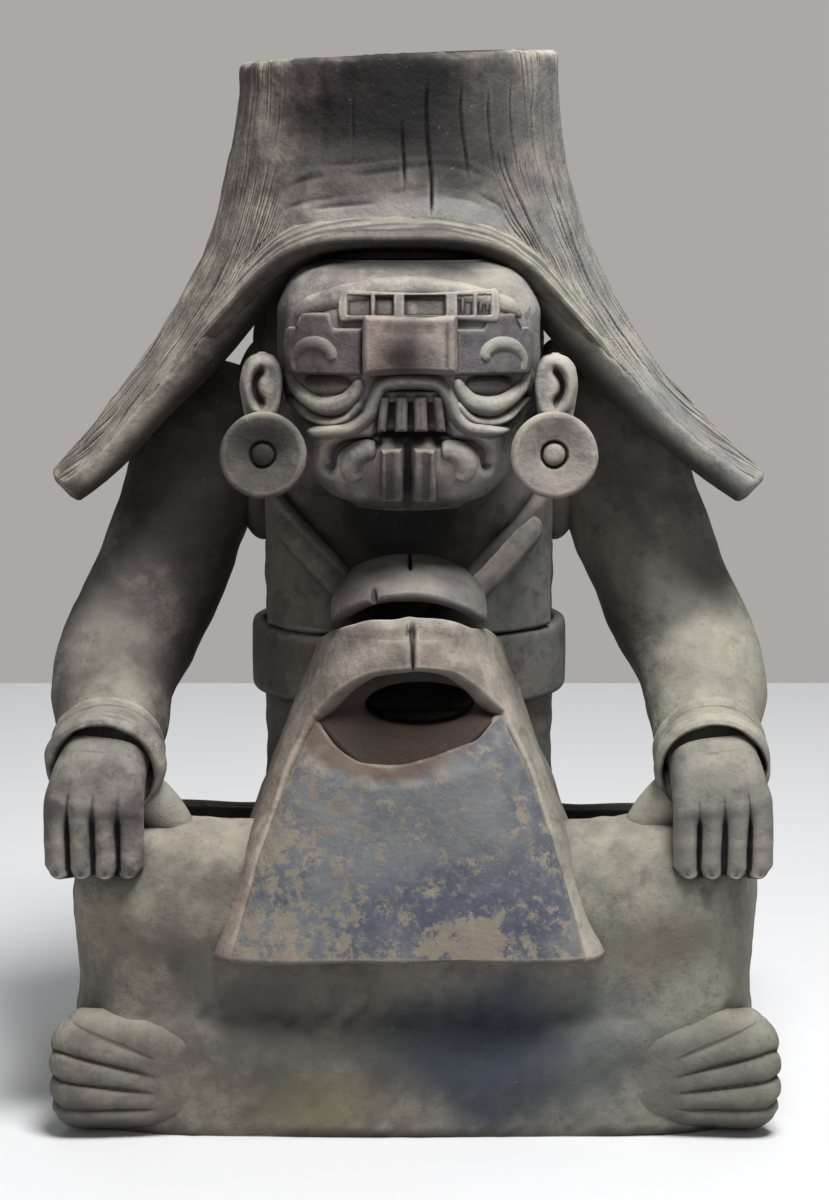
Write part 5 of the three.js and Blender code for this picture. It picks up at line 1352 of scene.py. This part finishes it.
def make_head():
    """The head: superellipse rings whose front carries the face's modelling. It ends in the vessel's wall."""
    turn = linspace(0, 1, 420, endpoint=False)
    angle = 2 * pi * (turn - 0.105 * sin(2 * pi * turn))[None, :]
    level = crowded(220, 0.25)[:, None]
    half_width = HEAD_HALF_WIDTH * graded(level, WIDTH_SHARE)
    depth = HEAD_DEPTH * graded(level, DEPTH_SHARE)
    s, c = sin(angle), cos(angle)
    x = half_width * sign(s) * abs(s) ** (2 / HEAD_POWER)
    y = -HEAD_REACH - where(c > 0, depth, HEAD_REACH - 6) * sign(c) * abs(c) ** (2 / HEAD_POWER)
    skin = stack(x, y, mix(CHIN_HEIGHT, HEAD_TOP, level))
    normal = skin_normals(skin, wrap=True)
    normal *= -sign(normal[110, 0, 1])
    lift = face_relief(skin[..., 0], skin[..., 2]) * ease(c + 0 * x, 0.05, 0.35) + 0.35 * ripple(skin, 22, 71)
    skin = pushed(skin, normal, lift)
    inside = vessel_radius(skin[..., 2]) - 5
    shift = lean_at(skin[..., 2])
    from_axis = hypot(skin[..., 0] - shift, skin[..., 1])
    push = where((from_axis < inside) & (skin[..., 1] > -HEAD_REACH), inside / maximum(from_axis, 1), 1)
    skin[..., 0] = shift + (skin[..., 0] - shift) * push
    skin[..., 1] = where(push > 1, -abs(skin[..., 1] * push), skin[..., 1])
    clay_piece("mask_and_head", [closed_ends(skin)], "head", "mask")


def carved(x, z):
    """The face's reach with its modelling, for what is laid on it."""
    return face(x, z) + face_relief(x, z)


CELLS = [(-21.8, 5.0), (-10.8, 3.9), (7.3, 8.9), (25, 3.2), (33.2, 2.8)]


def cell_share(x, z):
    """1 inside the forehead's cells and 0 on the bars between them."""
    share = 0 * x
    for middle, half in CELLS:
        within = ease(abs(x - middle), half + 0.7, half - 0.4)
        share = share + within * ease(abs(z - EYE_LINE - 31), 4.6, 3.6)
    return share


def row_relief(x, z):
    """The forehead's row of sunk cells, with small upright bars in the two at the right."""
    sunk = cell_share(x, z)
    bars = 1.6 * (hump(x, 24, 0.7) + hump(x, 32, 0.7) + hump(x, 35, 0.6))
    return -2.6 * sunk + bars * sunk * ease(z, EYE_LINE + 27, EYE_LINE + 31)


def snout_relief(x, z):
    """The snout's block: a bulge in the middle, a shallow dent above, and a raised edge at the right."""
    bulge = 3.0 * spot(x, z - EYE_LINE, (1, 11), (14, 10))
    return bulge - 0.8 * hump(z, EYE_LINE + 21, 3) * ease(abs(x), 16, 8) + 0.9 * hump(x, 18.6, 1.8)


def tooth(x, half, lean):
    """A tooth that hangs from the lip and leans outwards by its foot."""
    return block(face, (x, MOUTH_LINE + 11.5), (half, 8.0), 3.4, 2.0, 30, 46, lean=lean)


def make_mask():
    """The mask's strips and pads, each laid on the face and smeared into it."""
    rolls = {
        "forehead_band": (BROW_BAND, 9.0, 3.0, "pale_clay", 0.8),
        "upper_lip": (UPPER_LIP, 6.6, 5.6, "buff_clay", 0.75),
    }
    for name, (path, width, height, slot, taper) in rolls.items():
        grid = handmade(strip(face, path, width, height, 200, taper, 24, 4), 0.35, 81)
        clay_piece(f"{name}_roll", [grid], name, "mask")
    snout = block(face, (0.8, EYE_LINE + 13.5), (20.8, 12.4), 9.5, 3.0, 120, 90, snout_relief)
    clay_piece("snout_block", [handmade(snout, 0.4, 82)], "snout", "snout")
    row = block(face, (4.5, EYE_LINE + 31), (36, 6.2), 3.0, 1.8, 260, 60, row_relief)
    # Painted shade in the sunk cells of the forehead.
    sunk = {"groove_shade": 0.42 * cell_share(row[..., 0], row[..., 2])}
    cells = [handmade(row, 0.2, 85)]
    clay_piece("forehead_cells", cells, "glyph_row", "mask", sunk)
    gum = block(face, (1, MOUTH_LINE + 19), (13, 2.5), 0.6, 1.0, 40, 16)
    clay_piece("gum_and_teeth", [*(tooth(*one) for one in TEETH), gum], "upper_teeth", "plate")
    for side, x, way in (("left", -7.7, -1), ("right", 7.2, 1)):

        def fork_relief(px, _, x=x, way=way):
            return 0.9 * hump(px, x + 3.4 * way, 1.2) - 0.8 * hump(px, x, 2.4)

        fork = block(face, (x, MOUTH_LINE - 15.8), (5.0, 11.7), 4.2, 1.8, 44, 90, fork_relief)
        name = f"{side}_tongue_fork"
        clay_piece(f"{name}_slab", [handmade(fork, 0.3, 83)], name, "plate")
    brow_curl = strip(lambda x, z: face(x, z) + 2.4, BROW_CURL, 6.0, 2.2, 90, 0.55, 20)
    paired = {
        "brow_plate": ("grey_clay", "plate", plate_grid()),
        "brow_curl": ("buff_clay", "mask", brow_curl),
        "eyeball": ("grey_clay", "plate", mound(carved, (36.5, EYE_LINE - 4.0), (10.5, 4.6), 3.2)),
        "lower_eyelid": ("buff_clay", "mask", strip(face, LID, 7.4, 3.0, 130, 0.5, 20)),
        "mouth_curl": ("buff_clay", "mask", strip(face, MOUTH_CURL, 9.5, 3.4, 90, 0.6, 20)),
    }
    for name, (slot, finish, grid) in paired.items():
        clay_pair(f"{name}_relief", [(grid, 0.3, 84)], name, finish)


def plate_grid():
    """A brow plate: a slab bent to the face, from the snout to the temple."""

    def plate(u, v):
        x = mix(20.5, 55.5, u) - 2.5 * abs(2 * v - 1) ** 6 * u
        top = 21.5 + 6.5 * ease(u, 0.38, 0.46) * ease(u, 0.86, 0.78)
        z = EYE_LINE + mix(0.3, top, v)
        return stack(x, -face(x, z), z)

    return slab(plate, 70, 50, -2.7, -2.0, 2.2)


# Ears and spools

EAR_HALF_WIDTH = [
    (295, 1), (298, 5.5), (306, 7), (326, 7.2), (338, 9), (346, 9.9), (353, 8.8), (358, 5.6), (360, 1.5),
]


def make_ears():
    """Each ear is a thick rim curled round a hollow and a rounded inner lobe, and hangs behind the spool."""
    level = crowded(90, 0.6)[:, None]
    z = mix(295, EAR_TOP - 3.0, level)
    half = graded(z, EAR_HALF_WIDTH)
    across = sin(linspace(-1, 1, 60) * pi / 2 * 0.99)[None, :]
    x = EAR_X - 1 + half * across
    height = 0 * x + z
    outward = hypot((x - EAR_X + 3.0) / 8.5, (height - 345) / 12)
    rim = 2.2 * hump(outward, 1.05, 0.28)
    bowl = -4.5 * hump(outward, 0.58, 0.2) * ease(x, EAR_X - 4, EAR_X)
    inner = 0.8 * spot(x - EAR_X, height, (-4, 340), (4.5, 8))
    dome = (1 - abs(across) ** 3) ** 0.5 * sqrt(clip((1 - abs(2 * level - 1) ** 8), 0, 1))
    front = stack(x, -EAR_FRONT + 5 - 4.2 * dome - (rim + bowl + inner) * dome, height)
    back = stack(EAR_X - 1 + half * linspace(0.98, -0.98, 16)[None, :], -EAR_FRONT + 15, z)
    ear = tube(front, back)
    clay_pair("ear_and_lobe", [(ear, 0.3, 93)], "ear", "mask")


def faced_front(grid, side):
    """A body turned about +Z, laid to face the front at one ear."""
    return stack(grid[..., 0] + side * SPOOL_X, -grid[..., 2] - EAR_FRONT - LUTE, SPOOL_HEIGHT - grid[..., 1])


def make_spools():
    """Each spool is a dished disc with a rounded rim and a hole, in which a boss sits."""
    rim, hole = SPOOL_R, SPOOL_HOLE_R
    profile = [
        (hole + 2, 0.2), (rim - 6, 0.2), (rim - 1.5, 3.5), (rim - 0.3, 5.2), (rim - 0.2, 6.8), (rim - 1, 8.2),
        (rim - 2.4, 8.7), (rim - 6, 8), (hole + 2, 6.6), (hole - 0.2, 6), (hole - 0.8, 4.8), (hole - 0.8, 3),
    ]
    disc = turned(profile, 140, steps=70)
    boss = turned([(0, 0), (5.2, 0), (5.2, 4.5), (4.7, 6.0), (3, 7.2), (0, 7.6)], 64, steps=30)
    for side, way in SIDES:
        grid = handmade(faced_front(disc, way), 0.25, 91 + way)
        clay_piece(f"{side}_spool_disc", [grid], f"{side}_ear_spool", "spool")
        clay_piece(f"{side}_boss", [faced_front(boss, way)], f"{side}_spool_boss", "spool")


def dress_plain_nodes():
    """The flat inner pieces keep their solids and get the vessel's clay."""
    for name in ("floor_slab", "vessel_floor"):
        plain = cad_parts[name]
        plain.data.materials.clear()
        plain.data.materials.append(paint["vessel"])


def make_stage():
    """The pale plinth top, and its edge where the grey wall begins behind it."""
    back, front, half = 1.07, -0.62, 0.75
    corners = [(-half, front, 0), (half, front, 0), (half, back, 0), (-half, back, 0)]
    mesh = bpy.data.meshes.new("plinth")
    mesh.from_pydata(corners, [], [(0, 1, 2, 3)])
    material = bpy.data.materials.new("pale_plinth")
    material.use_nodes = True
    shader = material.node_tree.nodes["Principled BSDF"]
    shader.inputs["Base Color"].default_value = colour(226, 226, 227)
    shader.inputs["Roughness"].default_value = 0.7
    mesh.materials.append(material)
    placed("plinth", mesh)


def area_lamp(name, place, aim, size, power):
    """A square area lamp at a place, turned to the aim."""
    data = bpy.data.lights.new(name, "AREA")
    data.size = size
    data.energy = power
    lamp = placed(name, data)
    lamp.location = place
    away = np.array(aim) - np.array(place)
    heading = math.atan2(away[1], away[0]) - math.pi / 2
    pitch = math.atan2(math.hypot(away[0], away[1]), -away[2])
    lamp.rotation_euler = (pitch, 0, heading)


def make_light():
    """A key lamp above, a weak one from the front, one on the shelf behind, and a soft grey room."""
    area_lamp("key", (0.28, -0.62, 1.75), (0, 0, 0.25), 0.6, 41)
    area_lamp("front", (-0.5, -2.2, 0.9), (0, 0, 0.25), 1.2, 5)
    area_lamp("shelf", (0, 0.75, 1.5), (0, 0.8, 0), 1.0, 6)
    world = bpy.data.worlds.new("room")
    bpy.context.scene.world = world
    world.use_nodes = True
    tree = world.node_tree
    tree.nodes.clear()
    camera = node(tree, "LightPath", output="Is Camera Ray")
    seen = node(tree, "Background", {"Color": colour(172, 168, 166), "Strength": 1.0})
    fill = node(tree, "Background", {"Color": (0.93, 0.96, 1.0, 1), "Strength": 0.13})
    shown = node(tree, "MixShader", {0: camera, 1: fill, 2: seen})
    node(tree, "OutputWorld", {"Surface": shown})


def make_camera():
    """The photograph's view: a long lens a little above the urn's brow, tipped down."""
    data = bpy.data.cameras.new("camera")
    data.lens = 93
    data.sensor_width = 36
    camera = placed("camera", data)
    camera.location = CAMERA_PLACE
    camera.rotation_euler = (math.radians(90 - CAMERA_PITCH), 0, 0)
    bpy.context.scene.camera = camera


make_camera()
make_light()
make_stage()
make_seat()
make_back_wall()
make_vessel()
make_tunic()
make_sash()
make_hood()
make_bell()
make_hem()
make_arms()
make_cuffs()
make_hands()
make_feet()
make_head()
make_mask()
make_ears()
make_spools()
dress_plain_nodes()

bpy.context.scene.view_settings.view_transform = "Standard"
